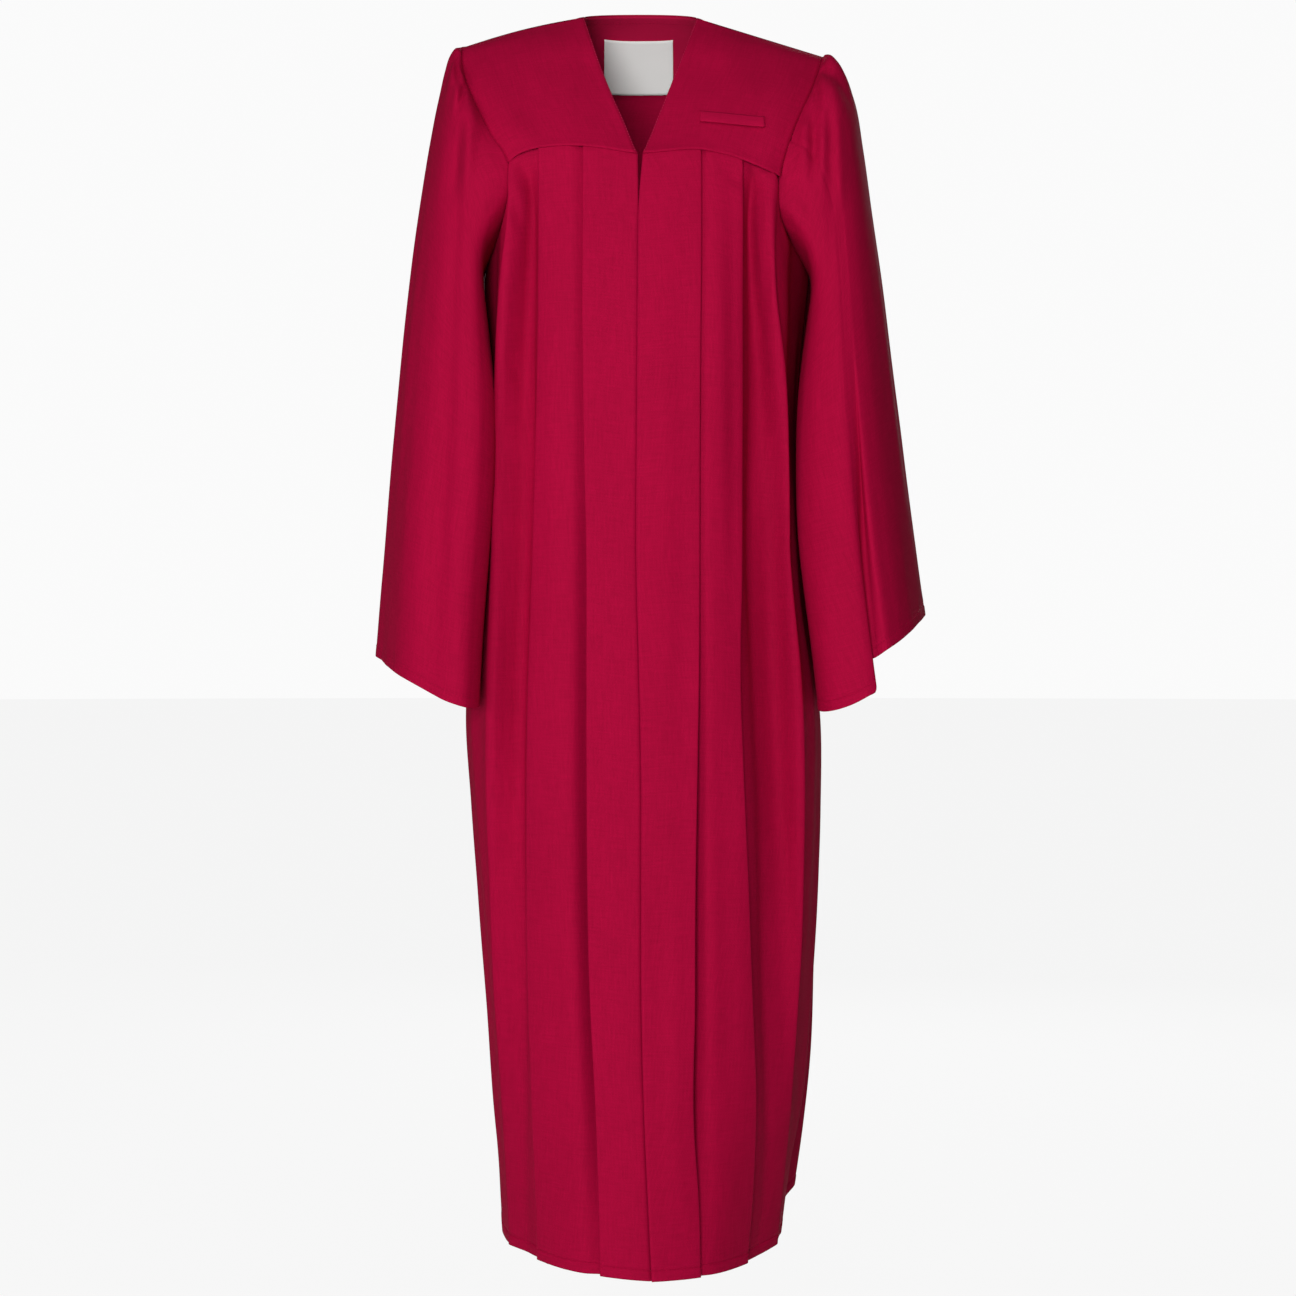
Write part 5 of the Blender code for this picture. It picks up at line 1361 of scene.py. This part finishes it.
# Rings down each bell sleeve, from the armhole to the hem: its outer, inner, front and back
# lines. Across is from the middle of the gown.
Ring = namedtuple("Ring", "outer_x outer_z inner_x inner_z front_y front_z back_y back_z")
RINGS = {
    RIGHT: table_of(Ring, (
        (0.1790, -0.0280, 0.1580, -0.258, -0.093, -0.155, 0.105, -0.150),
        (0.1832, -0.0305, 0.1600, -0.264, -0.097, -0.165, 0.107, -0.160),
        (0.1887, -0.0380, 0.1620, -0.272, -0.099, -0.180, 0.108, -0.174),
        (0.1957, -0.0560, 0.1620, -0.284, -0.098, -0.200, 0.109, -0.194),
        (0.2032, -0.0830, 0.1600, -0.298, -0.096, -0.224, 0.109, -0.218),
        (0.2132, -0.1300, 0.1570, -0.318, -0.095, -0.256, 0.109, -0.252),
        (0.2252, -0.2050, 0.1540, -0.348, -0.096, -0.300, 0.110, -0.298),
        (0.2367, -0.2950, 0.1500, -0.390, -0.100, -0.358, 0.114, -0.354),
        (0.2462, -0.3900, 0.1490, -0.450, -0.105, -0.434, 0.122, -0.428),
        (0.2547, -0.4800, 0.1530, -0.525, -0.111, -0.518, 0.133, -0.508),
        (0.2622, -0.5700, 0.1580, -0.610, -0.117, -0.606, 0.145, -0.588),
        (0.2682, -0.6500, 0.1620, -0.695, -0.122, -0.696, 0.155, -0.658),
    )),
    LEFT: table_of(Ring, (
        (0.1890, -0.0380, 0.1760, -0.262, -0.094, -0.165, 0.105, -0.155),
        (0.1940, -0.0365, 0.1770, -0.268, -0.099, -0.172, 0.108, -0.163),
        (0.2005, -0.0440, 0.1780, -0.276, -0.102, -0.185, 0.109, -0.176),
        (0.2100, -0.0610, 0.1770, -0.287, -0.102, -0.204, 0.109, -0.196),
        (0.2192, -0.0860, 0.1740, -0.300, -0.100, -0.228, 0.109, -0.220),
        (0.2282, -0.1340, 0.1690, -0.320, -0.098, -0.260, 0.109, -0.254),
        (0.2392, -0.2080, 0.1640, -0.350, -0.099, -0.303, 0.110, -0.300),
        (0.2517, -0.2980, 0.1590, -0.392, -0.102, -0.360, 0.114, -0.356),
        (0.2637, -0.3930, 0.1560, -0.452, -0.106, -0.436, 0.122, -0.430),
        (0.2752, -0.4800, 0.1570, -0.530, -0.111, -0.524, 0.133, -0.505),
        (0.2857, -0.5560, 0.1640, -0.616, -0.116, -0.612, 0.145, -0.575),
        (0.2932, -0.6070, 0.1720, -0.690, -0.120, -0.678, 0.155, -0.628),
    )),
}
FRONT_LINE_SHARE = {RIGHT: 0.22, LEFT: 0.40}
BACK_LINE_SHARE = 0.20
SLEEVE_ROUNDNESS = 2.5
SLEEVE_ROWS = {RIGHT: tuple(range(12)), LEFT: tuple(range(9)) + (8.5, 9, 9.25, 9.5, 10, 10.35, 10.7, 11)}
HEAD_RINGS = 6
ELBOW_RING = 8
CLEAR_RING = 3.0
FOLD_FIRST_RING = 2.0
GATHER = 0.0012
# Long soft folds of the sleeves: their place round the sleeve as a share of a turn from the
# outer line by way of the front, and how far they stand out at mid length and at the hem.
SleeveFold = namedtuple("SleeveFold", "around width at_elbow at_hem")
SLEEVE_FOLDS = {
    RIGHT: table_of(SleeveFold, (
        (0.270, 0.030, 0.003, 0.004), (0.215, 0.030, -0.006, -0.004), (0.120, 0.050, 0.003, 0.006),
        (0.870, 0.045, -0.006, -0.009), (0.780, 0.040, 0.005, 0.008),
        (0.690, 0.040, -0.006, -0.008),
    )),
    LEFT: table_of(SleeveFold, (
        (0.235, 0.030, 0.002, 0.003), (0.100, 0.050, -0.003, -0.004), (0.900, 0.050, 0.003, 0.008),
        (0.820, 0.040, -0.006, -0.009), (0.740, 0.040, 0.005, 0.008),
        (0.660, 0.040, -0.006, -0.008),
    )),
}
# The one deep fold of the left sleeve, which opens towards the hem: its place, the share of
# the way that its edge stands from the cloth in front to the cloth behind, its first ring,
# the rings between which it opens, the drop of the hem across it, and how far that spreads.
DEEP_FOLD_AROUND = 0.225
DEEP_FOLD_EDGE = 0.35
DEEP_FOLD_RING = 8.5
DEEP_FOLD_OPENS = (7.0, 9.5)
DEEP_FOLD_DROP = 0.034
DEEP_FOLD_SPREAD = 0.22
# The turns of that fold at the hem: along the sleeve from the fold's edge, the front being
# negative, and behind it.
Bend = namedtuple("Bend", "along behind")
DEEP_FOLD_BENDS = table_of(Bend, (
    (0.0000, 0.0000),
    (0.0013, 0.0013),
    (0.0000, 0.0026),
    (-0.0130, 0.0042),
    (-0.0152, 0.0065),
    (-0.0130, 0.0088),
    (0.0020, 0.0098),
))
SLEEVE_CREASES = {
    RIGHT: (
        *creases_on("front", (
            (-0.183, -0.044, -0.179, -0.086, 0.004, -0.009),
            (-0.176, -0.062, -0.182, -0.114, 0.005, 0.0065),
            (-0.173, -0.076, -0.179, -0.11, 0.004, -0.0075),
            (-0.164, -0.098, -0.172, -0.2, 0.008, 0.0055),
            (-0.174, -0.12, -0.181, -0.195, 0.006, -0.005),
            (-0.186, -0.1, -0.188, -0.23, 0.008, -0.002),
            (-0.176, -0.24, -0.179, -0.66, 0.008, 0.0022),
            (-0.196, -0.3, -0.2, -0.66, 0.01, -0.0022),
            (-0.224, -0.33, -0.236, -0.64, 0.012, 0.002),
        )),
        *creases_on("left", (
            (0.048, -0.254, 0.048, -0.33, 0.024, 0.0034),
        )),
        *creases_on("right", (
            (0.02, -0.16, 0.026, -0.56, 0.014, -0.003),
            (0.06, -0.12, 0.076, -0.4, 0.012, 0.0028),
            (-0.04, -0.2, -0.042, -0.52, 0.014, 0.002),
        )),
        *creases_on("back", (
            (-0.176, -0.2, -0.186, -0.56, 0.01, -0.003),
            (-0.21, -0.24, -0.224, -0.62, 0.01, 0.0026),
        )),
    ),
    LEFT: (
        *creases_on("front", (
            (0.174, -0.062, 0.179, -0.104, 0.004, -0.01),
            (0.183, -0.052, 0.19, -0.07, 0.004, -0.006),
            (0.164, -0.104, 0.164, -0.18, 0.007, 0.0052),
            (0.174, -0.106, 0.173, -0.186, 0.006, -0.005),
            (0.183, -0.096, 0.18, -0.186, 0.006, 0.0055),
            (0.195, -0.088, 0.2, -0.2, 0.006, 0.0046),
            (0.189, -0.12, 0.19, -0.24, 0.006, -0.002),
            (0.192, -0.28, 0.203, -0.56, 0.009, 0.002),
            (0.215, -0.42, 0.224, -0.6, 0.006, -0.0018),
        )),
        *creases_on("left", (
            (0.016, -0.18, 0.024, -0.52, 0.014, -0.003),
            (0.062, -0.14, 0.074, -0.42, 0.012, 0.0028),
            (-0.04, -0.22, -0.044, -0.5, 0.014, 0.0022),
        )),
        *creases_on("back", (
            (0.184, -0.2, 0.196, -0.56, 0.01, -0.003),
            (0.22, -0.24, 0.24, -0.56, 0.01, 0.0026),
        )),
    ),
}
# Gathers of a sleeve head, by their place on the armhole: how wide, how long and how deep.
Gather = namedtuple("Gather", "place width length height")
GATHERS = {
    RIGHT: table_of(Gather, (
        (0.20, 0.16, 0.060, 0.0026), (0.52, 0.15, 0.070, -0.0034), (0.86, 0.18, 0.070, 0.0032),
        (1.24, 0.20, 0.050, -0.0024), (1.64, 0.24, 0.060, 0.0020), (8.78, 0.17, 0.055, -0.0030),
        (8.42, 0.20, 0.070, 0.0032), (8.00, 0.20, 0.050, -0.0026), (7.60, 0.24, 0.050, 0.0018),
    )),
    LEFT: table_of(Gather, (
        (0.16, 0.15, 0.060, -0.0030), (0.46, 0.16, 0.065, 0.0034), (0.80, 0.15, 0.070, -0.0038),
        (1.18, 0.20, 0.070, 0.0032), (1.60, 0.20, 0.060, -0.0020), (8.74, 0.17, 0.060, 0.0030),
        (8.40, 0.18, 0.070, -0.0032), (8.00, 0.22, 0.055, 0.0028), (7.58, 0.24, 0.050, -0.0018),
    )),
}
GATHER_STAND = 0.0003
GATHER_SETTLE = 0.006
SLEEVE_EASE = 0.0016
SLEEVE_EASE_FACING = (0.3, 0.8)
SLEEVE_STEP = 0.0036
SLEEVE_DOWN_STEP = 0.0052
# How far the cuff rises towards the body and is drawn away from it, and the depths below the
# neck and the shares of facing the body over which that grows.
CUFF_RISE = {RIGHT: 0.026, LEFT: 0.0}
CUFF_DRAW = {RIGHT: 0.010, LEFT: 0.011}
CUFF_HEIGHTS = (0.50, 0.69)
CUFF_FACING = (0.20, 0.90)


def armhole_stations():
    """Places round the armhole shared by the sleeve and by the pieces it is sewn to."""
    front_yoke = [FRONT_SEAM_END * step / YOKE_ROWS for step in range(YOKE_ROWS)]
    front_span = UNDERARM - FRONT_SEAM_END
    front_side = [FRONT_SEAM_END + front_span * step / SIDE_COLUMNS for step in range(SIDE_COLUMNS)]
    back_span = BACK_SEAM_END - UNDERARM
    back_side = [UNDERARM + back_span * step / SIDE_COLUMNS for step in range(SIDE_COLUMNS)]
    rest = len(ARMHOLES[RIGHT]) - BACK_SEAM_END
    back_yoke = [BACK_SEAM_END + rest * step / YOKE_ROWS for step in range(YOKE_ROWS)]
    return front_yoke + front_side + back_side + back_yoke


def armhole_spoke(side, place):
    """The way from the middle of the armhole to a point of it."""
    middle = (armhole_point(side, 0.0) + armhole_point(side, UNDERARM)) / 2.0
    return armhole_point(side, place) - middle


def armhole_lean(side, place):
    """The common direction of the cloth walls that meet at a point of the armhole."""
    spoke = armhole_spoke(side, place)
    spoke.x = 0.0
    return (spoke.normalized() + Vector((ARMHOLE_LEAN * side, 0.0, 0.0))).normalized()


def ring_point(side, ring, around):
    """A point of a sleeve's ring; around is a share of a turn from its outer line."""
    turn = 2.0 * math.pi * around
    power = 2.0 / SLEEVE_ROUNDNESS
    middle = Vector(((ring.outer_x + ring.inner_x) / 2.0, (ring.front_y + ring.back_y) / 2.0,
                     (ring.front_z + ring.back_z) / 2.0))
    front_x = ring.inner_x + (ring.outer_x - ring.inner_x) * FRONT_LINE_SHARE[side]
    back_x = ring.inner_x + (ring.outer_x - ring.inner_x) * BACK_LINE_SHARE
    spokes = ((math.cos(turn), Vector((ring.outer_x, middle.y, ring.outer_z))),
              (-math.cos(turn), Vector((ring.inner_x, middle.y, ring.inner_z))),
              (math.sin(turn), Vector((front_x, ring.front_y, ring.front_z))),
              (-math.sin(turn), Vector((back_x, ring.back_y, ring.back_z))))
    point = middle.copy()
    for weight, guide in spokes:
        point += (guide - middle) * max(weight, 0.0) ** power
    return point


def clear_of_body(side, point, place):
    """Move a sleeve point out so that it hangs just clear of the body."""
    girth = read_row(GIRTHS, point.z)
    reach = SIDE_DEPTH - girth.front if point.y < SIDE_DEPTH else girth.back - SIDE_DEPTH
    share = min(abs(point.y - SIDE_DEPTH) / reach, 1.0)
    body = half_width(side, girth) * (1.0 - share ** girth.square) ** (1.0 / girth.square)
    least = body + SLEEVE_CLEARANCE * smooth_step(0.0, CLEAR_RING, place)
    apart = point.x - least
    point.x = least + (apart + math.hypot(apart, SLEEVE_SOFTNESS)) / 2.0
    return point


def sleeve_offset(side, around, place):
    """How far the long soft folds stand out of the plain sleeve."""
    last = len(RINGS[side]) - 1
    upper = smooth_step(FOLD_FIRST_RING, ELBOW_RING, place)
    lower = smooth_step(ELBOW_RING, last, place)
    out = 0.0
    for fold in SLEEVE_FOLDS[side]:
        size = fold.at_elbow * upper + (fold.at_hem - fold.at_elbow) * lower
        spread = (around - fold.around) / fold.width
        out += size * math.exp(-spread * spread)
    return out


def armhole_around(side, place):
    """The share of a turn at which a point of the armhole stands."""
    spoke = armhole_spoke(side, place)
    return (math.atan2(-spoke.y, spoke.z) / (2.0 * math.pi)) % 1.0


def sleeve_plain_point(side, around, place):
    """A point of the sleeve below its head, in distances across from the middle."""
    ring = ring_at(RINGS[side], place)
    point = ring_point(side, ring, around)
    middle = Vector(((ring.outer_x + ring.inner_x) / 2.0, (ring.front_y + ring.back_y) / 2.0, point.z))
    outward = (point - middle).normalized()
    point += outward * sleeve_offset(side, around, place)
    return clear_of_body(side, point, place)


def sleeve_points(side):
    """Rows of points of a sleeve from the armhole to the hem, closed round."""
    stations = armhole_stations()
    rings = RINGS[side]
    base = []
    for place in stations:
        hole = armhole_point(side, place)
        around = armhole_around(side, place)
        flat = Vector((abs(hole.x), hole.y, hole.z))
        base.append((around, flat - ring_point(side, rings[0], around)))
    rows = []
    for ring_place in SLEEVE_ROWS[side]:
        row = []
        for index, (around, miss) in enumerate(base):
            if ring_place == 0:
                place = stations[index]
                point = armhole_point(side, place) + gap_way(side, place) * SLEEVE_SEAM_GAP
                point.x *= side
            else:
                fade = max(1.0 - ring_place / HEAD_RINGS, 0.0) ** 2
                point = sleeve_plain_point(side, around, ring_place) + miss * fade
                cap = max(math.cos(2.0 * math.pi * around), 0.0)
                cap *= smooth_step(HEAD_RINGS, FOLD_FIRST_RING, ring_place)
                point.z += (GATHER if index % 2 else -GATHER) * cap
            row.append(Vector((side * point.x, point.y, point.z)))
        rows.append(row)
    places = list(stations)
    if side == LEFT:
        add_deep_fold(rows, base, places)
    for row in rows:
        row.append(row[0].copy())
    return rows, places


def gap_way(side, place):
    """The direction across the armhole seam, from the body to the sleeve."""
    step = 0.02
    along = (armhole_point(side, place + step) - armhole_point(side, place - step)).normalized()
    across = along.cross(armhole_lean(side, place)).normalized()
    if across.x * side < 0:
        across.negate()
    return across


def level_way(start, end):
    """The level direction from one point to another, and the one out of the sleeve beside it."""
    along = Vector((end.x - start.x, end.y - start.y, 0.0)).normalized()
    return along, Vector((along.y, -along.x, 0.0))


def along_row(edge, front, beyond, reach):
    """The point at a reach from a fold's edge along the front of its row."""
    near = (front - edge).length
    if reach <= near:
        return edge.lerp(front, reach / near)
    return front.lerp(beyond, (reach - near) / (beyond - front).length)


def add_deep_fold(rows, base, places):
    """Lay the front of the left sleeve over its outer side in one fold above the hem."""
    shares = [around for around, miss in base]
    index = max(step for step in range(YOKE_ROWS + 1) if shares[step] <= DEEP_FOLD_AROUND)
    last = SLEEVE_ROWS[LEFT][-1]
    count = len(DEEP_FOLD_BENDS)
    for ring_place, row in zip(SLEEVE_ROWS[LEFT], rows):
        opened = smooth_step(*DEEP_FOLD_OPENS, ring_place)
        laid = smooth_step(DEEP_FOLD_RING, last, ring_place)
        front = row[index + 1]
        outer = row[index]
        edge = front.lerp(outer, DEEP_FOLD_EDGE)
        beyond = row[index + 2]
        along, outward = level_way(front, outer)
        outward = (outward + level_way(beyond, front)[1]).normalized()
        extra = []
        for number, bend in enumerate(DEEP_FOLD_BENDS):
            plain = front.lerp(outer, (number + 1) / (count + 1))
            across = (plain - edge).dot(along) * (1.0 - laid) + bend.along * laid
            folded = along_row(edge, front, beyond, -across) if across < 0.0 else edge + along * across
            folded = folded - outward * bend.behind * opened
            fall = DEEP_FOLD_DROP * (number / (count - 1) - 0.5)
            folded.z = plain.z + (edge.z + fall - plain.z) * laid
            extra.append(folded)
        for column, around in enumerate(shares):
            near = max(1.0 - abs(around - DEEP_FOLD_AROUND) / DEEP_FOLD_SPREAD, 0.0) * laid / 2.0
            row[column].z += DEEP_FOLD_DROP * (near if column <= index else -near)
        row[index + 1:index + 1] = list(reversed(extra))
    start = places[index]
    span = places[index + 1] - start
    places[index + 1:index + 1] = [start + span * (number + 1) / (count + 1) for number in range(count)]


def ring_middle(ring):
    """The middle of a closed ring, whose last point is its first one again."""
    return sum(ring[:-1], Vector((0.0, 0.0, 0.0))) / (len(ring) - 1)


def out_of_ring(ring):
    """The way out of a ring of points, seen from its middle."""
    middle = ring_middle(ring)
    return lambda point: (point - middle).normalized()


def dressed_sleeve(rows, side, places):
    """Rows of a sleeve with its gathers, creases and hem."""
    result = []
    for row in rows:
        middle = ring_middle(row)
        line = []
        for column, point in enumerate(row):
            out = point - middle
            out = Vector((out.x, out.y, 0.0)).normalized()
            drop = (point - rows[0][column]).length
            inward = -side * out.x
            settle = smooth_step(0.0, GATHER_SETTLE, drop)
            cuff = smooth_step(*CUFF_HEIGHTS, -point.z) * smooth_step(*CUFF_FACING, inward)
            shift = crease_at(SLEEVE_CREASES[side], point, out) * smooth_step(0.0, SETTLE, drop)
            shift += Vector((side * CUFF_DRAW[side], 0.0, CUFF_RISE[side])) * cuff
            move = -GATHER_STAND * (1.0 - settle)
            move += SLEEVE_EASE * settle * smooth_step(*SLEEVE_EASE_FACING, inward)
            for gather in GATHERS[side]:
                gap = (places[column] - gather.place) / gather.width
                fade = 1.0 - smooth_step(0.0, gather.length, drop)
                move += gather.height * settle * fade * math.exp(-gap * gap)
            move += hem_offset(point.z - rows[-1][column].z, point.x - point.y)
            line.append(point + shift + out * move)
        result.append(line)
    return result


def finer_places(places, rows):
    """The places of a sleeve's finer columns round the armhole."""
    result = [places[0]]
    for low, place in enumerate(places):
        high = places[low + 1] if low + 1 < len(places) else len(ARMHOLES[LEFT])
        length = max((row[low + 1] - row[low]).length for row in rows)
        result.extend(place + (high - place) * share for share in share_steps(length, SLEEVE_STEP))
    return result


sleeve_rows = {}
for side, word in SIDES:
    coarse, stations = sleeve_points(side)
    stations = finer_places(stations, coarse)
    plain = finer_rows(coarse, closed=True, across_step=SLEEVE_STEP, down_step=SLEEVE_DOWN_STEP)
    dressed = dressed_sleeve(plain, side, stations)
    sleeve_rows[side] = tucked_under(dressed, out_of_ring(dressed[0]))
    sleeve_piece = cloth_piece(word + "_sleeve", sleeve_rows[side], wine_cloth, closed=True)
    finish_piece(sleeve_piece, "sleeve_" + word)


# Sewing. Polyester thread in the cloth's own colour: hems and cuffs are stitched round about
# ten millimetres up, and the facing close to its edges. The neck edge is stitched close to its
# edge in a lighter thread, a painted highlight along the V edge.
STITCH_LENGTH = 0.0026
STITCH_PITCH = 0.0036
STITCH_RADIUS = 0.00022
NECK_STITCH = 0.20
FACING_STITCH_ROW = 3
THREAD_LOOK = {"roughness": 0.60, "slub": 0.2, "bump": 0.3, "sheen": 0.10, "pitch": 9000.0,
               "mapped": False}
thread = cloth_material("wine thread", (0.22, 0.0010, 0.020), (0.40, 0.0016, 0.038), **THREAD_LOOK)
# The neck thread's lighter shades are painted light: a painted highlight along the folded V edge.
neck_thread_painted_highlight = cloth_material("neck thread lightened as painted highlight", (0.50, 0.020, 0.085),
                             (0.66, 0.045, 0.130), **THREAD_LOOK)


def row_of_stitches(mesh, line, outs):
    """Stitches laid end to end along a line of points, just proud of the cloth."""
    run = lengths_along(line)
    place = STITCH_PITCH / 2.0
    low = 0
    while place < run[-1] - STITCH_PITCH / 2.0:
        while run[low + 1] < place:
            low += 1
        share = (place - run[low]) / max(run[low + 1] - run[low], TINY)
        along = (line[low + 1] - line[low]).normalized()
        out = outs[low].lerp(outs[low + 1], share).normalized()
        spot = line[low].lerp(line[low + 1], share) + out * (CLOTH_THICKNESS / 2.0 + STITCH_RADIUS / 2.0)
        across = out.cross(along).normalized()
        turn = Matrix((along, across, out)).transposed().to_4x4()
        shape = Matrix.Diagonal((STITCH_LENGTH / 2.0, STITCH_RADIUS, STITCH_RADIUS, 1.0))
        bmesh.ops.create_icosphere(mesh, subdivisions=1, radius=1.0,
                                   matrix=Matrix.Translation(spot) @ turn @ shape)
        place += STITCH_PITCH


def sewn_piece(name, lines, finish=thread):
    """One mesh with the stitches of several lines, each a list of points and of directions."""
    mesh = bmesh.new()
    for line, outs in lines:
        row_of_stitches(mesh, line, outs)
    piece = new_object(name, mesh, finish)
    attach(piece, "root")


def hem_line(rows, out_at):
    """The line of a hem's stitches, and the directions out of the cloth along it."""
    line = []
    for column in range(len(rows[0])):
        foot = rows[-1][column]
        index = next(step for step in range(len(rows) - 1, 0, -1)
                     if rows[step - 1][column].z - foot.z > HEM_STITCH)
        low, high = rows[index][column], rows[index - 1][column]
        line.append(low.lerp(high, (HEM_STITCH - low.z + foot.z) / (high.z - low.z)))
    return line, [out_at(point) for point in line]


def edge_line(rows, places, inward):
    """A line of stitches through the given rows and columns, facing out of or into the gown."""
    points = [point_on(rows, row, column) for row, column in places]
    outs = [out_at_place(rows, row, round(column)) * (-1.0 if inward else 1.0) for row, column in places]
    return points, outs


body_rows = (front_rows[RIGHT], front_rows[LEFT], back_rows)
sewn_piece("hem_stitches", [hem_line(rows, out_of_body) for rows in body_rows])
sewn_piece("cuff_stitches", [hem_line(sleeve_rows[side], out_of_ring(sleeve_rows[side][-1]))
                             for side in (RIGHT, LEFT)])
neck_lines = []
for side in (RIGHT, LEFT):
    near = NECK_STITCH if side == RIGHT else len(yoke_rows[side][0]) - 1 - NECK_STITCH
    places = [(row, near) for row in range(len(yoke_rows[side]))]
    neck_lines.append(edge_line(yoke_rows[side], places, False))
sewn_piece("neck_stitches", neck_lines, neck_thread_painted_highlight)
facing_columns = range(len(facing_lines[0]))
sewn_piece("facing_stitches", [
    edge_line(facing_lines, [(row, column) for column in facing_columns], True)
    for row in (FACING_STITCH_ROW, len(facing_lines) - 2)])


# Stage. A plain pale floor and plain soft studio lights, the key light from the viewer's
# left, and a level camera straight in front of the gown.

FLOOR_LEVEL = -1.42
FLOOR_RADIUS = 40.0
FLOOR_SIDES = 64
FLOOR_COLOUR = (0.92, 0.92, 0.92, 1.0)
FLOOR_ROUGHNESS = 0.9
PAPER_GLOW = 0.96
PAPER_SHARE = 0.94
AIR_LIGHT = 0.10
WHITE = (1.0, 1.0, 1.0, 1.0)
CAMERA_PLACE = (0.0097, -2.8, -0.643)
SENSOR_WIDTH = 36.0
LENS = 76.25


def mixed_for_camera(tree, plain, paper, share, output):
    """Join two shaders so that the camera sees the second by its share and light the first."""
    seen = tree.nodes.new("ShaderNodeLightPath")
    factor = calculate(tree, "MULTIPLY", seen.outputs["Is Camera Ray"], share)
    mix = tree.nodes.new("ShaderNodeMixShader")
    for number, socket in enumerate((factor, plain, paper)):
        tree.links.new(socket, mix.inputs[number])
    tree.links.new(mix.outputs[0], tree.nodes[output].inputs["Surface"])


floor_finish = bpy.data.materials.new("pale floor")
floor_finish.use_nodes = True
floor_tree = floor_finish.node_tree
floor_shader = floor_tree.nodes["Principled BSDF"]
floor_shader.inputs["Base Color"].default_value = FLOOR_COLOUR
floor_shader.inputs["Roughness"].default_value = FLOOR_ROUGHNESS
floor_glow = floor_tree.nodes.new("ShaderNodeEmission")
floor_glow.inputs["Strength"].default_value = PAPER_GLOW
mixed_for_camera(floor_tree, floor_shader.outputs[0], floor_glow.outputs[0], PAPER_SHARE,
                 "Material Output")
floor_mesh = bmesh.new()
bmesh.ops.create_circle(floor_mesh, cap_ends=True, segments=FLOOR_SIDES, radius=FLOOR_RADIUS,
                        matrix=Matrix.Translation((0.0, 0.0, FLOOR_LEVEL)))
floor = new_object("floor", floor_mesh, floor_finish)

world = bpy.data.worlds.new("studio")
world.use_nodes = True
world_tree = world.node_tree
soft_air = world_tree.nodes["Background"]
white_paper = world_tree.nodes.new("ShaderNodeBackground")
for shader, strength in ((soft_air, AIR_LIGHT), (white_paper, PAPER_GLOW)):
    shader.inputs["Color"].default_value = WHITE
    shader.inputs["Strength"].default_value = strength
mixed_for_camera(world_tree, soft_air.outputs[0], white_paper.outputs[0], 1.0, "World Output")
bpy.context.scene.world = world
bpy.context.scene.view_settings.view_transform = "Standard"


def soft_light(name, place, aim, size, power):
    """A square area light at a place, turned towards a point."""
    data = bpy.data.lights.new(name, "AREA")
    data.shape = "SQUARE"
    data.size = size
    data.energy = power
    light = bpy.data.objects.new(name, data)
    light.location = place
    light.rotation_euler = (Vector(aim) - Vector(place)).to_track_quat("-Z", "Y").to_euler()
    bpy.context.scene.collection.objects.link(light)


soft_light("key light", (-0.42, -3.0, -0.30), (0.0, 0.0, -0.45), size=0.9, power=56.0)
soft_light("fill light", (-2.4, -1.8, -0.2), (0.0, 0.0, -0.5), size=0.9, power=15.0)
soft_light("top light", (0.2, -1.4, 1.2), (0.0, 0.05, -0.1), size=0.7, power=7.0)
soft_light("back light", (0.6, 3.0, 0.6), (0.0, 0.0, -0.5), size=2.0, power=40.0)

camera_data = bpy.data.cameras.new("camera")
camera_data.sensor_width = SENSOR_WIDTH
camera_data.lens = LENS
camera = bpy.data.objects.new("camera", camera_data)
camera.location = CAMERA_PLACE
camera.rotation_euler = Euler((math.radians(90.0), 0.0, 0.0))
bpy.context.scene.collection.objects.link(camera)
bpy.context.scene.camera = camera
